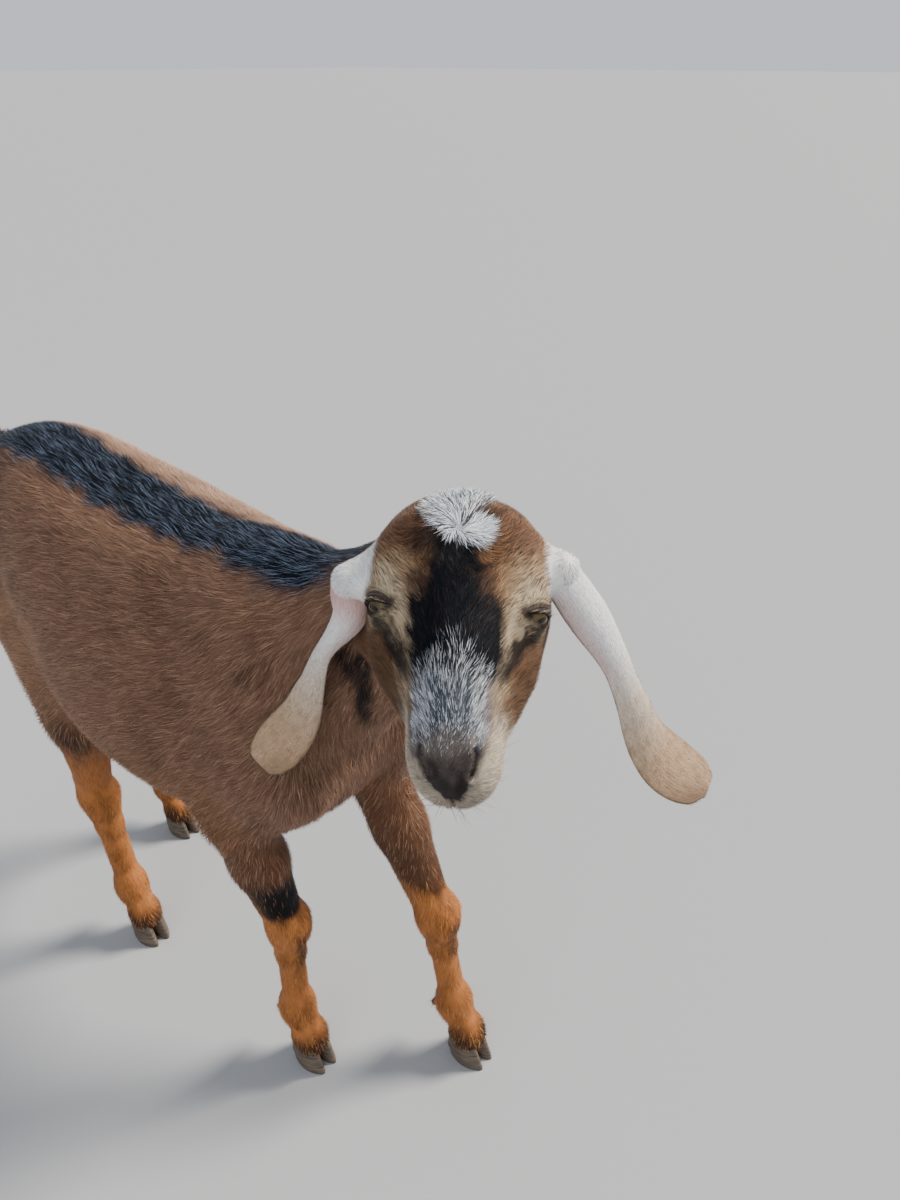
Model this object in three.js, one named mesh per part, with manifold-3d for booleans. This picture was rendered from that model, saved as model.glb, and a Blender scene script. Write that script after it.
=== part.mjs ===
// Nubian goat kid, standing with its left foreleg forward and its head turned to its right.
// Millimetres. X runs forward along the trunk, Y to the goat's left, Z up, floor at Z = 0.
import * as THREE from 'three';
import { mergeVertices } from 'three/addons/utils/BufferGeometryUtils.js';
import Module from 'manifold-3d';

const wasm = await Module();
wasm.setup();

// Driving sizes
const withersHeight = 498;
const gap = 0.3;
const eyeSpread = 46;
const eyeballRadius = 11.6;
const lidThickness = 2.2;
const headYaw = THREE.MathUtils.degToRad(-54.3);
const headPitch = THREE.MathUtils.degToRad(23);
const headRoll = THREE.MathUtils.degToRad(3.5);
const midEyes = new THREE.Vector3(276.6, -11.6, 516.4);
const eyeStation = 62;
const eyeLift = 18;

// Small helpers on plain [x, y, z] lists
const add = (a, b, t = 1) => [a[0] + b[0] * t, a[1] + b[1] * t, a[2] + b[2] * t];
const sub = (a, b) => add(a, b, -1);
const dot = (a, b) => a[0] * b[0] + a[1] * b[1] + a[2] * b[2];
const size = (a) => Math.hypot(a[0], a[1], a[2]);
const unit = (a) => add([0, 0, 0], a, 1 / size(a));
const cross = (a, b) => [
  a[1] * b[2] - a[2] * b[1],
  a[2] * b[0] - a[0] * b[2],
  a[0] * b[1] - a[1] * b[0],
];
const mix = (a, b, t) => a + (b - a) * t;
const clamp = (v, low, high) => Math.min(high, Math.max(low, v));

// Joins two distances with a fillet of about the given width
function blend(a, b, width) {
  const h = Math.max(width - Math.abs(a - b), 0) / width;
  return Math.min(a, b) - (h * h * width) / 4;
}

// A smooth curve through a few [station, value] pairs
function profile(points) {
  const slope = points.map((p, i) => {
    const a = points[Math.max(i - 1, 0)];
    const b = points[Math.min(i + 1, points.length - 1)];
    return (b[1] - a[1]) / (b[0] - a[0]);
  });
  return (x) => {
    let i = 0;
    while (i < points.length - 2 && x > points[i + 1][0]) i += 1;
    const [x0, y0] = points[i];
    const [x1, y1] = points[i + 1];
    const w = x1 - x0;
    const t = clamp((x - x0) / w, 0, 1);
    const t2 = t * t;
    const t3 = t2 * t;
    return (2 * t3 - 3 * t2 + 1) * y0 + (t3 - 2 * t2 + t) * w * slope[i]
      + (3 * t2 - 2 * t3) * y1 + (t3 - t2) * w * slope[i + 1];
  };
}

// Distance to a rounded cone; flat < 1 thins it along the side direction
function cone(p, a, b, ra, rb, flat = 1, side = [0, 1, 0]) {
  const ab = sub(b, a);
  const t = clamp(dot(sub(p, a), ab) / dot(ab, ab), 0, 1);
  const q = sub(p, add(a, ab, t));
  const across = dot(q, side);
  return size(add(q, side, across * (1 / flat - 1))) - mix(ra, rb, t);
}

// Distance to an ellipsoid with its axes along X, Y and Z
function ellipsoid(p, c, r) {
  const q = sub(p, c);
  const k = Math.hypot(q[0] / r[0], q[1] / r[1], q[2] / r[2]);
  const g = Math.hypot(q[0] / r[0] ** 2, q[1] / r[1] ** 2, q[2] / r[2] ** 2);
  return g > 0 ? (k * (k - 1)) / g : -Math.min(...r);
}

// Distance to an egg-like section: narrow is how much the top is drawn in, and the two powers say
// how square it is below and above its middle
function section(y, z, bottom, top, half, narrow, lowPower, topPower = lowPower) {
  const middle = (top + bottom) / 2;
  const tall = (top - bottom) / 2;
  const up = (z - middle) / tall;
  const power = up > 0 ? topPower : lowPower;
  const wide = half * (1 - narrow * clamp(up, -1.2, 1.2));
  const rho = (Math.abs(y / wide) ** power + Math.abs(up) ** power) ** (1 / power);
  const r = Math.hypot(y, z - middle);
  return rho > 0.05 ? r * (1 - 1 / rho) : -Math.min(tall, half);
}

// Ends a long form: d is the distance to its sides, over the distance past its end
function capped(d, over, round) {
  const a = d + round;
  const b = over + round;
  return Math.hypot(Math.max(a, 0), Math.max(b, 0)) + Math.min(Math.max(a, b), 0) - round;
}

// Trunk
const rumpEnd = -256;
const chestEnd = 188;
const trunkRound = 30;
const backLine = profile([
  [rumpEnd, 478], [-225, 497], [-190, 509], [-150, 511], [-90, 502], [-20, 495],
  [60, 495], [110, withersHeight], [145, 488], [172, 460], [chestEnd, 430],
]);
const bellyLine = profile([
  [rumpEnd, 362], [-225, 338], [-190, 320], [-130, 296], [-75, 272], [-20, 259],
  [40, 258], [90, 266], [130, 278], [160, 298], [chestEnd, 330],
]);
const trunkHalf = profile([
  [rumpEnd, 46], [-225, 57], [-190, 69], [-150, 79], [-90, 93], [-40, 99],
  [30, 94], [80, 82], [125, 67], [160, 52], [chestEnd, 38],
]);
const bellyPower = 2.8;
const backPower = 2.2;
const trunkNarrow = profile([[rumpEnd, 0.02], [-150, 0.02], [-40, 0], [60, 0.06], [chestEnd, 0.2]]);

function trunkField(p) {
  const x = clamp(p[0], rumpEnd, chestEnd);
  const d = section(
    p[1], p[2], bellyLine(x), backLine(x), trunkHalf(x), trunkNarrow(x), bellyPower, backPower,
  );
  return capped(d, Math.max(p[0] - chestEnd, rumpEnd - p[0]), trunkRound);
}

// Limbs: joints of each leg, right side negative in Y
const limbs = {
  fore_right: {
    front: true, side: -1,
    shoulder: [150, -46, 352], elbow: [100, -55, 295], knee: [117, -36, 162],
    fetlock: [119, -38, 58], coronet: [131, -38, 31],
  },
  fore_left: {
    front: true, side: 1,
    shoulder: [158, 46, 352], elbow: [133, 55, 290], knee: [204, 51, 159],
    fetlock: [222, 53, 58], coronet: [236, 54, 31],
  },
  hind_right: {
    front: false, side: -1,
    hip: [-192, -42, 408], stifle: [-112, -62, 322], hock: [-127, -55, 172],
    fetlock: [-110, -54, 58], coronet: [-96, -54, 31],
  },
  hind_left: {
    front: false, side: 1,
    hip: [-192, 42, 408], stifle: [-124, 62, 312], hock: [-213, 57, 180],
    fetlock: [-206, 56, 58], coronet: [-193, 56, 31],
  },
};
const kneeRadius = 18.5;
const foreCannonRadius = 12.8;
const hockRadius = 18.5;
const hindCannonRadius = 13.4;
const fetlockRadius = 17;
const pasternRadius = 14;
const coronetRadius = 17;

function foreField(p, l) {
  let d = cone(p, l.shoulder, l.elbow, 40, 33, 0.72);
  d = blend(d, ellipsoid(p, [118, 40 * l.side, 396], [58, 27, 80]), 30);
  const calf = add(l.elbow, sub(l.knee, l.elbow), 0.42);
  d = blend(d, cone(p, l.elbow, calf, 33, 25, 0.86), 14);
  d = blend(d, cone(p, calf, l.knee, 25, kneeRadius - 1.5, 0.9), 12);
  const point = add(l.elbow, [-22, 0, 4]);
  d = blend(d, cone(p, point, l.elbow, 14, 20), 18);
  const kneeFront = add(l.knee, [4, 0, -2]);
  d = blend(d, cone(p, add(kneeFront, [0, 0, 10]), kneeFront, kneeRadius, kneeRadius - 0.5), 8);
  const below = add(l.knee, sub(l.fetlock, l.knee), 0.3);
  d = blend(d, cone(p, l.knee, below, kneeRadius - 2, foreCannonRadius + 0.8), 10);
  return blend(d, cannonField(p, below, l, foreCannonRadius), 8);
}

function hindField(p, l) {
  let d = cone(p, l.hip, l.stifle, 56, 41, 0.74);
  const rear = [l.hip[0] - 36, 34 * l.side, 402];
  const gaskin = add(l.stifle, sub(l.hock, l.stifle), 0.34);
  d = blend(d, cone(p, rear, add(gaskin, [-16, 0, 6]), 34, 23, 0.9), 34);
  d = blend(d, cone(p, l.stifle, gaskin, 38, 30, 0.72), 22);
  d = blend(d, cone(p, gaskin, l.hock, 29, hockRadius - 3, 0.86), 16);
  const heel = add(l.hock, [-15, 0, 17]);
  d = blend(d, cone(p, add(gaskin, [-22, 0, -14]), heel, 13, 9), 16);
  d = blend(d, cone(p, heel, l.hock, 10.5, hockRadius - 1), 12);
  d = blend(d, cone(p, l.hock, add(l.hock, [2, 0, -14]), hockRadius, hockRadius - 2, 0.92), 10);
  const below = add(l.hock, sub(l.fetlock, l.hock), 0.3);
  d = blend(d, cone(p, l.hock, below, hockRadius - 2, hindCannonRadius + 0.8, 0.94), 10);
  return blend(d, cannonField(p, below, l, hindCannonRadius), 8);
}

function cannonField(p, start, l, radius) {
  let d = cone(p, start, l.fetlock, radius, radius);
  const ankle = add(l.fetlock, [0, 0, 6]);
  const below = add(l.fetlock, [-1, 0, -2]);
  d = blend(d, cone(p, ankle, below, fetlockRadius, fetlockRadius - 0.5, 0.94), 9);
  const dew = add(l.fetlock, [-17, 0, -9]);
  d = blend(d, cone(p, add(dew, [0, 7, 0]), add(dew, [0, -7, 0]), 4.6, 4.6), 5);
  d = blend(d, cone(p, l.fetlock, l.coronet, pasternRadius, pasternRadius + 0.5), 8);
  return blend(d, cone(p, l.coronet, add(l.coronet, [2, 0, -5]), coronetRadius, coronetRadius - 0.5, 0.96), 7);
}

// Neck
const neckPath = [
  { at: [112, 0, 414], deep: 80, wide: 0.6 },
  { at: [160, 3, 438], deep: 63, wide: 0.7 },
  { at: [206, 17, 467], deep: 50, wide: 0.78 },
  { at: [241, 32, 511], deep: 38, wide: 0.95 },
];
const neckSide = unit([-0.24, 0.97, 0]);

function neckField(p) {
  let d = 1e6;
  for (let i = 0; i < neckPath.length - 1; i += 1) {
    const a = neckPath[i];
    const b = neckPath[i + 1];
    d = blend(d, cone(p, a.at, b.at, a.deep, b.deep, (a.wide + b.wide) / 2, neckSide), 14);
  }
  return d;
}

// Head, in its own frame: s from the nape to the lips, y to its left, z out of the forehead
const along = [Math.cos(headPitch) * Math.cos(headYaw), Math.cos(headPitch) * Math.sin(headYaw),
  -Math.sin(headPitch)];
const sideways = [-Math.sin(headYaw), Math.cos(headYaw), 0];
const across = unit(add(sideways, cross(along, sideways), -Math.tan(headRoll)));
const dorsal = cross(along, across);
const nape = add(add(midEyes.toArray(), along, -eyeStation), dorsal, -eyeLift);
const fromHead = (s, y, z) => add(add(add(nape, along, s), across, y), dorsal, z);
const headTurn = (s, y, z) => add(add(add([0, 0, 0], along, s), across, y), dorsal, z);
function toHead(p) {
  const q = sub(p, nape);
  return [dot(q, along), dot(q, across), dot(q, dorsal)];
}
const napeEnd = -22;
const lipEnd = 161.5;
const lipRound = 11.5;
const browLine = profile([
  [napeEnd, 8], [-8, 29], [8, 41], [28, 47], [50, 45], [75, 40], [100, 36], [120, 30.5], [138, 23],
  [149, 13], [lipEnd, 0],
]);
const jawLine = profile([
  [napeEnd, -14], [-5, -30], [15, -45], [40, -52], [70, -46], [100, -38], [124, -32], [142, -29],
  [lipEnd, -25],
]);
const headHalf = profile([
  [napeEnd, 20], [-5, 39], [15, 49], [40, 51.5], [64, 48], [85, 42], [104, 34], [122, 26.5],
  [140, 22.8], [151, 19.2], [lipEnd, 14.5],
]);
const headNarrow = profile([[napeEnd, 0], [30, 0.02], [62, 0.14], [92, 0.28], [122, 0.22], [lipEnd, 0.06]]);
const eyeballAt = [eyeStation - 1, eyeSpread - 9, eyeLift - 3];
// Each swelling or hollow: [s, y, z, height, radius], on both sides of the face
const faceForms = [
  [32, 31, 38, 6, 18],
  [50, 41, 30, 5.5, 12],
  [68, 45, 12, -4, 11],
  [84, 34, 24, -3.5, 13],
  [82, 41, -2, 2.5, 17],
  [44, 40, -24, 4, 24],
  [105, 28, 14, -3, 18],
  [143, 18, -10, 2.5, 13],
  [148, 13, 14, 2.2, 8],
];
const midForms = [
  [40, 0, 48, -2, 12],
  [151, 0, -27, 2.5, 9],
  [157, 0, 6, 1.6, 10],
];

// The kid is chewing: lips and jaw are set over to its left below the nose
const jawSet = 5;
const ramp = (low, high, x) => THREE.MathUtils.smoothstep(x, low, high);
const chew = (s, z) => jawSet * ramp(70, 125, s) * (1 - ramp(-18, 14, z));
const fromFace = (s, y, z) => fromHead(s, y + chew(s, z), z);
const headPower = 2.3;
function headField(p) {
  const [s, flatY, z] = toHead(p);
  const y = flatY - chew(s, z);
  const at = clamp(s, napeEnd, lipEnd);
  let d = section(y, z, jawLine(at), browLine(at), headHalf(at), headNarrow(at), headPower);
  if (s < napeEnd) d = Math.hypot(Math.max(d, 0), napeEnd - s) + Math.min(d, 0);
  d = capped(d, s - lipEnd, lipRound);
  for (const [fs, fy, fz, height, radius] of faceForms) {
    const r = Math.hypot(s - fs, Math.abs(y) - fy, z - fz) / radius;
    d -= height * Math.exp(-r * r);
  }
  for (const [fs, fy, fz, height, radius] of midForms) {
    const r = Math.hypot(s - fs, y - fy, z - fz) / radius;
    d -= height * Math.exp(-r * r);
  }
  const lids = Math.hypot(s - eyeballAt[0], Math.abs(y) - eyeballAt[1], z - eyeballAt[2]);
  return blend(d, lids - eyeballRadius - gap - lidThickness, 12);
}

// Stub of each ear, from inside the skull out to where the ear starts to hang
const earStub = {
  left: [fromHead(26, 28, 8), [306, 42, 528]],
  right: [fromHead(26, -28, 8), [216, -32, 521]],
};
const earField = (p) => Math.min(...Object.values(earStub).map(([a, b]) => cone(p, a, b, 17, 11.5)));

// Whole coat surface, used for every part that grows out of another
function trunkAndLimbs(p) {
  let d = blend(trunkField(p), neckField(p), 30);
  for (const l of Object.values(limbs)) {
    d = blend(d, l.front ? foreField(p, l) : hindField(p, l), 18);
  }
  return d;
}
const wholeGoat = (p) => blend(trunkAndLimbs(p), blend(headField(p), earField(p), 14), 22);

// Finds where a ray from inside leaves the form
function leave(field, from, direction, reach) {
  const step = 2;
  let near = 0;
  let far = step;
  while (far < reach && field(add(from, direction, far)) < 0) {
    near = far;
    far += step;
  }
  if (far >= reach) return reach;
  for (let i = 0; i < 14; i += 1) {
    const mid = (near + far) / 2;
    if (field(add(from, direction, mid)) < 0) near = mid;
    else far = mid;
  }
  return (near + far) / 2;
}

// Closed geometry from rings of equal length and two end points
function closedRings(rings, first, last) {
  const n = rings[0].length;
  const points = [first, ...rings.flat(), last];
  const faces = [];
  for (let j = 0; j < n; j += 1) {
    const k = (j + 1) % n;
    faces.push(0, 1 + k, 1 + j);
    for (let i = 0; i < rings.length - 1; i += 1) {
      const a = 1 + i * n + j;
      const b = 1 + i * n + k;
      faces.push(a, b, b + n, a, b + n, a + n);
    }
    const base = 1 + (rings.length - 1) * n;
    faces.push(base + j, base + k, points.length - 1);
  }
  const geometry = new THREE.BufferGeometry();
  geometry.setAttribute('position', new THREE.Float32BufferAttribute(points.flat(), 3));
  geometry.setIndex(faces);
  return geometry;
}

// Skin drawn around a spine: every ring point lies where its ray leaves the field
function skinLoft(field, spine, { up, rings, around, caps, reach, levelRings = false }) {
  const curve = new THREE.CatmullRomCurve3(spine.map((p) => new THREE.Vector3(...p)), false, 'centripetal');
  const made = [];
  const ends = [];
  const ring = (centre, axis, lean) => {
    const side = unit(cross(up, axis));
    const top = cross(axis, side);
    const out = [];
    for (let j = 0; j < around; j += 1) {
      const a = (2 * Math.PI * j) / around;
      const flat = add(add([0, 0, 0], side, Math.cos(a)), top, Math.sin(a));
      const ray = add(add([0, 0, 0], flat, Math.cos(lean)), axis, Math.sin(lean));
      out.push(add(centre, ray, leave(field, centre, ray, reach)));
    }
    return out;
  };
  for (let i = 0; i <= rings; i += 1) {
    const centre = curve.getPointAt(i / rings).toArray();
    const axis = levelRings ? [0, 0, -1] : curve.getTangentAt(i / rings).toArray();
    if (i === 0) {
      ends.push(add(centre, axis, -leave(field, centre, add([0, 0, 0], axis, -1), reach)));
      for (let c = caps - 1; c > 0; c -= 1) made.push(ring(centre, axis, (-Math.PI / 2) * (c / caps)));
    }
    made.push(ring(centre, axis, 0));
    if (i === rings) {
      for (let c = 1; c < caps; c += 1) made.push(ring(centre, axis, (Math.PI / 2) * (c / caps)));
      ends.push(add(centre, axis, leave(field, centre, axis, reach)));
    }
  }
  return closedRings(made, ends[0], ends[1]);
}

function solid(geometry) {
  const plain = geometry.clone();
  plain.deleteAttribute('normal');
  plain.deleteAttribute('uv');
  const joined = mergeVertices(plain, 1e-5);
  return new wasm.Manifold(new wasm.Mesh({
    numProp: 3,
    vertProperties: new Float32Array(joined.attributes.position.array),
    triVerts: new Uint32Array(joined.index.array),
  }));
}

// A box lying on the far side of a plane, standing off from it by the given distance
function beyond(point, normal, upHint, [width, height, depth], off) {
  const n = unit(normal);
  const side = unit(cross(upHint, n));
  const top = cross(n, side);
  const box = new THREE.BoxGeometry(width, height, depth);
  box.translate(0, 0, depth / 2 + off);
  const basis = new THREE.Matrix4().makeBasis(
    new THREE.Vector3(...side), new THREE.Vector3(...top), new THREE.Vector3(...n),
  );
  basis.setPosition(...point);
  box.applyMatrix4(basis);
  return solid(box);
}

function largest(shape) {
  return shape.decompose().sort((a, b) => b.volume() - a.volume())[0];
}

const goat = new THREE.Group();
goat.name = 'nubian_goat_kid';
const coats = {
  body: new THREE.MeshStandardMaterial({ name: 'brown_coat', color: 0x6b4330, roughness: 0.8 }),
  leg: new THREE.MeshStandardMaterial({ name: 'tan_coat', color: 0x9a5a2c, roughness: 0.8 }),
  ear: new THREE.MeshStandardMaterial({ name: 'pale_ear', color: 0xc9bdb4, roughness: 0.8 }),
  hoof: new THREE.MeshStandardMaterial({ name: 'hoof_horn', color: 0x2e2621, roughness: 0.6 }),
  eye: new THREE.MeshStandardMaterial({ name: 'amber_eye', color: 0x8a6a2c, roughness: 0.15 }),
};
function place(name, shape, coat) {
  const body = largest(shape);
  const made = body.getMesh();
  const geometry = new THREE.BufferGeometry();
  const count = made.vertProperties.length / made.numProp;
  const points = new Float32Array(count * 3);
  for (let i = 0; i < count; i += 1) {
    for (let k = 0; k < 3; k += 1) points[i * 3 + k] = made.vertProperties[i * made.numProp + k];
  }
  geometry.setAttribute('position', new THREE.BufferAttribute(points, 3));
  geometry.setIndex(new THREE.BufferAttribute(new Uint32Array(made.triVerts), 1));
  geometry.computeVertexNormals();
  const mesh = new THREE.Mesh(geometry, coats[coat].clone());
  mesh.name = name;
  goat.add(mesh);
  return body;
}

// Where the parts meet, from the named sizes of the trunk: [point, direction out of the trunk]
const groin = [-150, 0, bellyLine(-150) - 12];
const brisket = [160, 0, bellyLine(90) - 9];
const neckFace = [[147, 0, 441], unit([0.83, 0, 0.55])];
const headReach = 66;
const napeTilt = 0.7;
const headFaces = [
  [fromHead(0, 0, -12), headTurn(Math.cos(napeTilt), 0, Math.sin(napeTilt))],
  [fromHead(0, headReach, 0), headTurn(0, -1, 0)],
  [fromHead(0, -headReach, 0), headTurn(0, 1, 0)],
];
function legFaces(l) {
  return [
    l.front ? [brisket, [0, 0.67 * l.side, -0.745]] : [groin, [-0.45, 0.6 * l.side, -0.66]],
    [[0, 0, 0], [0, l.side, 0]],
    l.front ? [[70, 0, 300], [0.8, 0, -0.6]] : [[-58, 0, 300], [-0.8, 0, -0.6]],
  ].map(([point, normal]) => [point, unit(normal)]);
}
const past = (p, [point, normal]) => dot(sub(p, point), normal);
const overlap = 30;
// A field held to one side of the given faces, running a little way past each
const ahead = (field, faces) => (p) => Math.max(field(p), ...faces.map((f) => -past(p, f) - overlap));
const behind = (field, faces) => (p) => (
  Math.max(field(p), Math.min(...faces.map((f) => past(p, f))) - overlap)
);

// Trunk, neck and head skins
const trunkSkin = solid(skinLoft(
  Object.values(limbs).reduce((field, l) => behind(field, legFaces(l)), behind(trunkAndLimbs, [neckFace])),
  [[-205, 0, 412], [-100, 0, 392], [0, 0, 378], [130, 0, 392]],
  { up: [0, 0, 1], rings: 22, around: 36, caps: 5, reach: 260 },
));
const neckSkin = solid(skinLoft(
  behind(ahead(wholeGoat, [neckFace]), headFaces),
  [[135, 1, 432], [160, 4, 446], [200, 16, 480], [236, 26, 514]],
  { up: [-0.6, 0, 0.8], rings: 12, around: 32, caps: 4, reach: 110 },
));
const headSkin = solid(skinLoft(
  ahead(wholeGoat, headFaces),
  [fromHead(6, 0, -6), fromHead(60, 0, -6), fromHead(110, 0, -6), fromHead(148, 0, -8)],
  { up: dorsal, rings: 32, around: 40, caps: 6, reach: 80 },
));

// Legs: forward and rear limbs drawn from inside the trunk down to the hoof
const coronetPlane = 27;
function legSkin(l) {
  const upper = l.front ? [l.shoulder, l.elbow] : [l.hip, l.stifle];
  const joint = l.front ? l.knee : l.hock;
  const start = add(upper[0], sub(upper[1], upper[0]), 0.3);
  const foot = add(l.coronet, [3, 0, -3]);
  return solid(skinLoft(
    ahead(trunkAndLimbs, legFaces(l)),
    [start, upper[1], add(upper[1], sub(joint, upper[1]), 0.5), joint, l.fetlock, l.coronet, foot],
    { up: [1, 0, 0], rings: 24, around: 16, caps: 3, reach: 120, levelRings: true },
  ));
}

// Hooves: two claws side by side, each a tapered wall on a flat sole, joined at the heel
const clawLength = 36;
const clawWidth = 14.5;
const clawGap = 1.6;
const clawSides = 12;
function hoof(l) {
  const claw = (side) => {
    const rings = [0, 0.4, 1].map((t) => {
      const z = t * (coronetPlane - gap);
      const long = mix(clawLength, clawLength * 0.76, t) / 2;
      const wide = mix(clawWidth, clawWidth * 1.02, t) / 2;
      const x0 = l.coronet[0] + mix(6, -1.5, t);
      const y0 = l.coronet[1] + side * (wide + clawGap / 2 - t * 1.4);
      const out = [];
      for (let j = 0; j < clawSides; j += 1) {
        const a = (2 * Math.PI * j) / clawSides;
        const pinch = 1 - 0.34 * Math.max(Math.cos(a), 0) ** 2;
        out.push([
          x0 + long * Math.cos(a),
          y0 + wide * Math.sin(a) * pinch - side * 1.6 * Math.max(Math.cos(a), 0) * (1 - t),
          z,
        ]);
      }
      return out;
    });
    const middle = (ring) => [l.coronet[0] + 3, rings[0][0][1], ring[0][2]];
    return solid(closedRings(rings, middle(rings[0]), middle(rings[rings.length - 1])));
  };
  const heel = new THREE.CylinderGeometry(9, 9.5, coronetPlane - gap - 4, 12);
  heel.rotateX(Math.PI / 2);
  heel.translate(l.coronet[0] - 5, l.coronet[1], 4 + (coronetPlane - gap - 4) / 2);
  return claw(1).add(claw(-1)).add(solid(heel));
}

// Locks of hair: flat and tapered, rooted under the skin, bending over to lie along it
let seed = 11;
function random(low, high) {
  seed = (seed * 16807) % 2147483647;
  return mix(low, high, seed / 2147483647);
}
const lockRings = 5;
function lock(root, out, lie, { long, wide, thick, rise, sink }) {
  const along = unit(sub(lie, add([0, 0, 0], out, dot(lie, out))));
  const side = unit(cross(out, along));
  const rings = [];
  for (let i = 0; i < lockRings; i += 1) {
    const t = i / lockRings;
    const height = (sink + rise) * Math.sin(2 * t) - sink;
    const centre = add(add(root, along, long * t), out, height);
    const halfWide = (wide / 2) * Math.sqrt(1 - t);
    const halfThick = (thick / 2) * (1 - 0.6 * t);
    rings.push([
      add(centre, side, halfWide), add(centre, out, halfThick),
      add(centre, side, -halfWide), add(centre, out, -halfThick),
    ]);
  }
  const tip = add(add(root, along, long), out, (sink + rise) * Math.sin(2) - sink);
  return solid(closedRings(rings, add(root, out, -sink), tip));
}
function normalAt(field, p) {
  const step = 0.5;
  return unit([0, 1, 2].map((k) => {
    const nudge = [0, 0, 0];
    nudge[k] = step;
    return field(add(p, nudge)) - field(sub(p, nudge));
  }));
}

const wideSlab = [1200, 1200, 900];
const faceBox = ([point, normal], off, extent = wideSlab) => {
  const hint = Math.abs(normal[1]) > 0.9 ? [1, 0, 0] : [0, 1, 0];
  return beyond(point, normal, hint, extent, off);
};
const region = (faces, off) => faces.map((f) => faceBox(f, off)).reduce((a, b) => a.intersect(b));

let torso = trunkSkin;
for (const [name, l] of Object.entries(limbs)) {
  const aboveHoof = faceBox([[0, 0, coronetPlane], [0, 0, 1]], 0);
  place(`leg_${name}`, legSkin(l).intersect(region(legFaces(l), gap)).intersect(aboveHoof), 'leg');
  place(`hoof_${name}`, hoof(l), 'hoof');
  torso = torso.subtract(region(legFaces(l), 0));
}

// Tail: a short dock held out and down, drawn from inside the rump
const dock = [[-236, 0, 455], [-263, 0, 466], [-290, 0, 465], [-309, 0, 444]];
function dockField(p) {
  let d = cone(p, dock[0], dock[1], 17, 15, 1.1);
  d = blend(d, cone(p, dock[1], dock[2], 15, 15, 1.3), 8);
  return blend(d, cone(p, dock[2], dock[3], 15, 9, 1.4), 8);
}
const tailSkin = solid(skinLoft(
  dockField, dock, { up: [0.7, 0, 0.7], rings: 10, around: 14, caps: 3, reach: 60 },
));
const tailFace = [dock[1], unit(sub(dock[1], dock[0]))];
torso = torso.add(tailSkin.subtract(faceBox(tailFace, 0)));

// Tail hair: locks down both edges and over the top of the dock, longest at its tip
const tailLocks = 12;
let tail = tailSkin.intersect(faceBox(tailFace, gap));
for (let i = 0; i < tailLocks; i += 1) {
  const t = i / (tailLocks - 1);
  const [from, to] = t < 0.5 ? [dock[1], dock[2]] : [dock[2], dock[3]];
  const centre = add(from, sub(to, from), t < 0.5 ? mix(0.35, 0.9, 2 * t) : 2 * t - 1);
  const axis = unit(sub(to, from));
  const turn = ((i % 3) - 1) * random(0.9, 1.4);
  const front = unit(cross(axis, [0, -1, 0]));
  const ray = add(add([0, 0, 0], front, Math.cos(turn)), [0, 1, 0], Math.sin(turn));
  const root = add(centre, ray, leave(dockField, centre, ray, 40));
  tail = tail.add(lock(root, ray, axis, {
    long: mix(24, 32, t) * random(0.85, 1.1), wide: 9, thick: 2.6, rise: 3.4, sink: 3.4,
  }));
}
place('tail', tail, 'body');
place('torso', torso.subtract(faceBox(neckFace, 0)), 'body');
place('neck', neckSkin.intersect(faceBox(neckFace, gap)).subtract(region(headFaces, 0)), 'body');

// Ears: long folded leaves that hang, with the edge toward the cheek turned under
const earThick = 3.4;
const leftEarHalf = profile([
  [0, 9], [0.14, 13], [0.3, 15.5], [0.5, 11.5], [0.7, 14.5], [0.86, 19.5], [0.96, 16.5], [1, 8],
]);
const rightEarHalf = profile([
  [0, 9], [0.14, 12], [0.28, 13.5], [0.45, 7], [0.58, 8], [0.7, 12], [0.86, 17], [0.96, 15], [1, 9],
]);
function earSolid(side, path, facing, half) {
  const curve = new THREE.CatmullRomCurve3(path.map((p) => new THREE.Vector3(...p)), false, 'centripetal');
  const fold = profile([[0, 2.1], [0.15, 1.7], [0.4, 1.25], [0.7, 0.75], [0.9, 0.35], [1, 0.2]]);
  const steps = 26;
  const arc = 8;
  const rings = [];
  for (let i = 0; i <= steps; i += 1) {
    const t = i / steps;
    const centre = curve.getPointAt(t).toArray();
    const axis = curve.getTangentAt(t).toArray();
    const face = facing(t);
    const out = unit(sub(face, add([0, 0, 0], axis, dot(face, axis))));
    const wide = add([0, 0, 0], cross(axis, out), side);
    const w = half(t);
    const bend = fold(t);
    const r = w / Math.sin(Math.min(bend, Math.PI / 2));
    const point = (u, inset) => {
      const a = u * bend;
      const q = add(centre, wide, (r - inset) * Math.sin(a));
      return add(q, out, (r - inset) * Math.cos(a) - r * Math.cos(bend * 0.5));
    };
    const ring = [];
    for (let j = 0; j <= arc; j += 1) ring.push(point(mix(-1, 1, j / arc), 0));
    for (let j = arc; j >= 0; j -= 1) {
      const u = mix(-1, 1, j / arc);
      ring.push(point(u * 0.97, earThick * (1 - 0.45 * u * u)));
    }
    rings.push(side > 0 ? ring : ring.slice().reverse());
  }
  const middle = (ring) => add(add([0, 0, 0], ring[4], 0.5), ring[13], 0.5);
  return solid(closedRings(rings, middle(rings[0]), middle(rings[rings.length - 1])));
}
const leftEarPath = [
  earStub.left[0], earStub.left[1], [322, 51, 508], [336, 62, 476], [347, 71, 441],
  [358, 80, 407], [373, 94, 383], [389, 105, 373],
];
const rightEarPath = [
  earStub.right[0], earStub.right[1], [213, -37, 497], [201, -47, 471], [193, -51, 446],
  [185, -56, 422], [176, -65, 403], [168, -76, 388],
];
const leftFacing = (t) => unit([mix(0.75, 0.45, t), mix(0.1, -0.55, t), mix(0.5, 0.75, t)]);
const rightFacing = (t) => unit([mix(0.25, 0.45, t), mix(-0.8, -0.6, t), mix(0.5, 0.65, t)]);
const leftEar = earSolid(1, leftEarPath, leftFacing, leftEarHalf);
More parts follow.
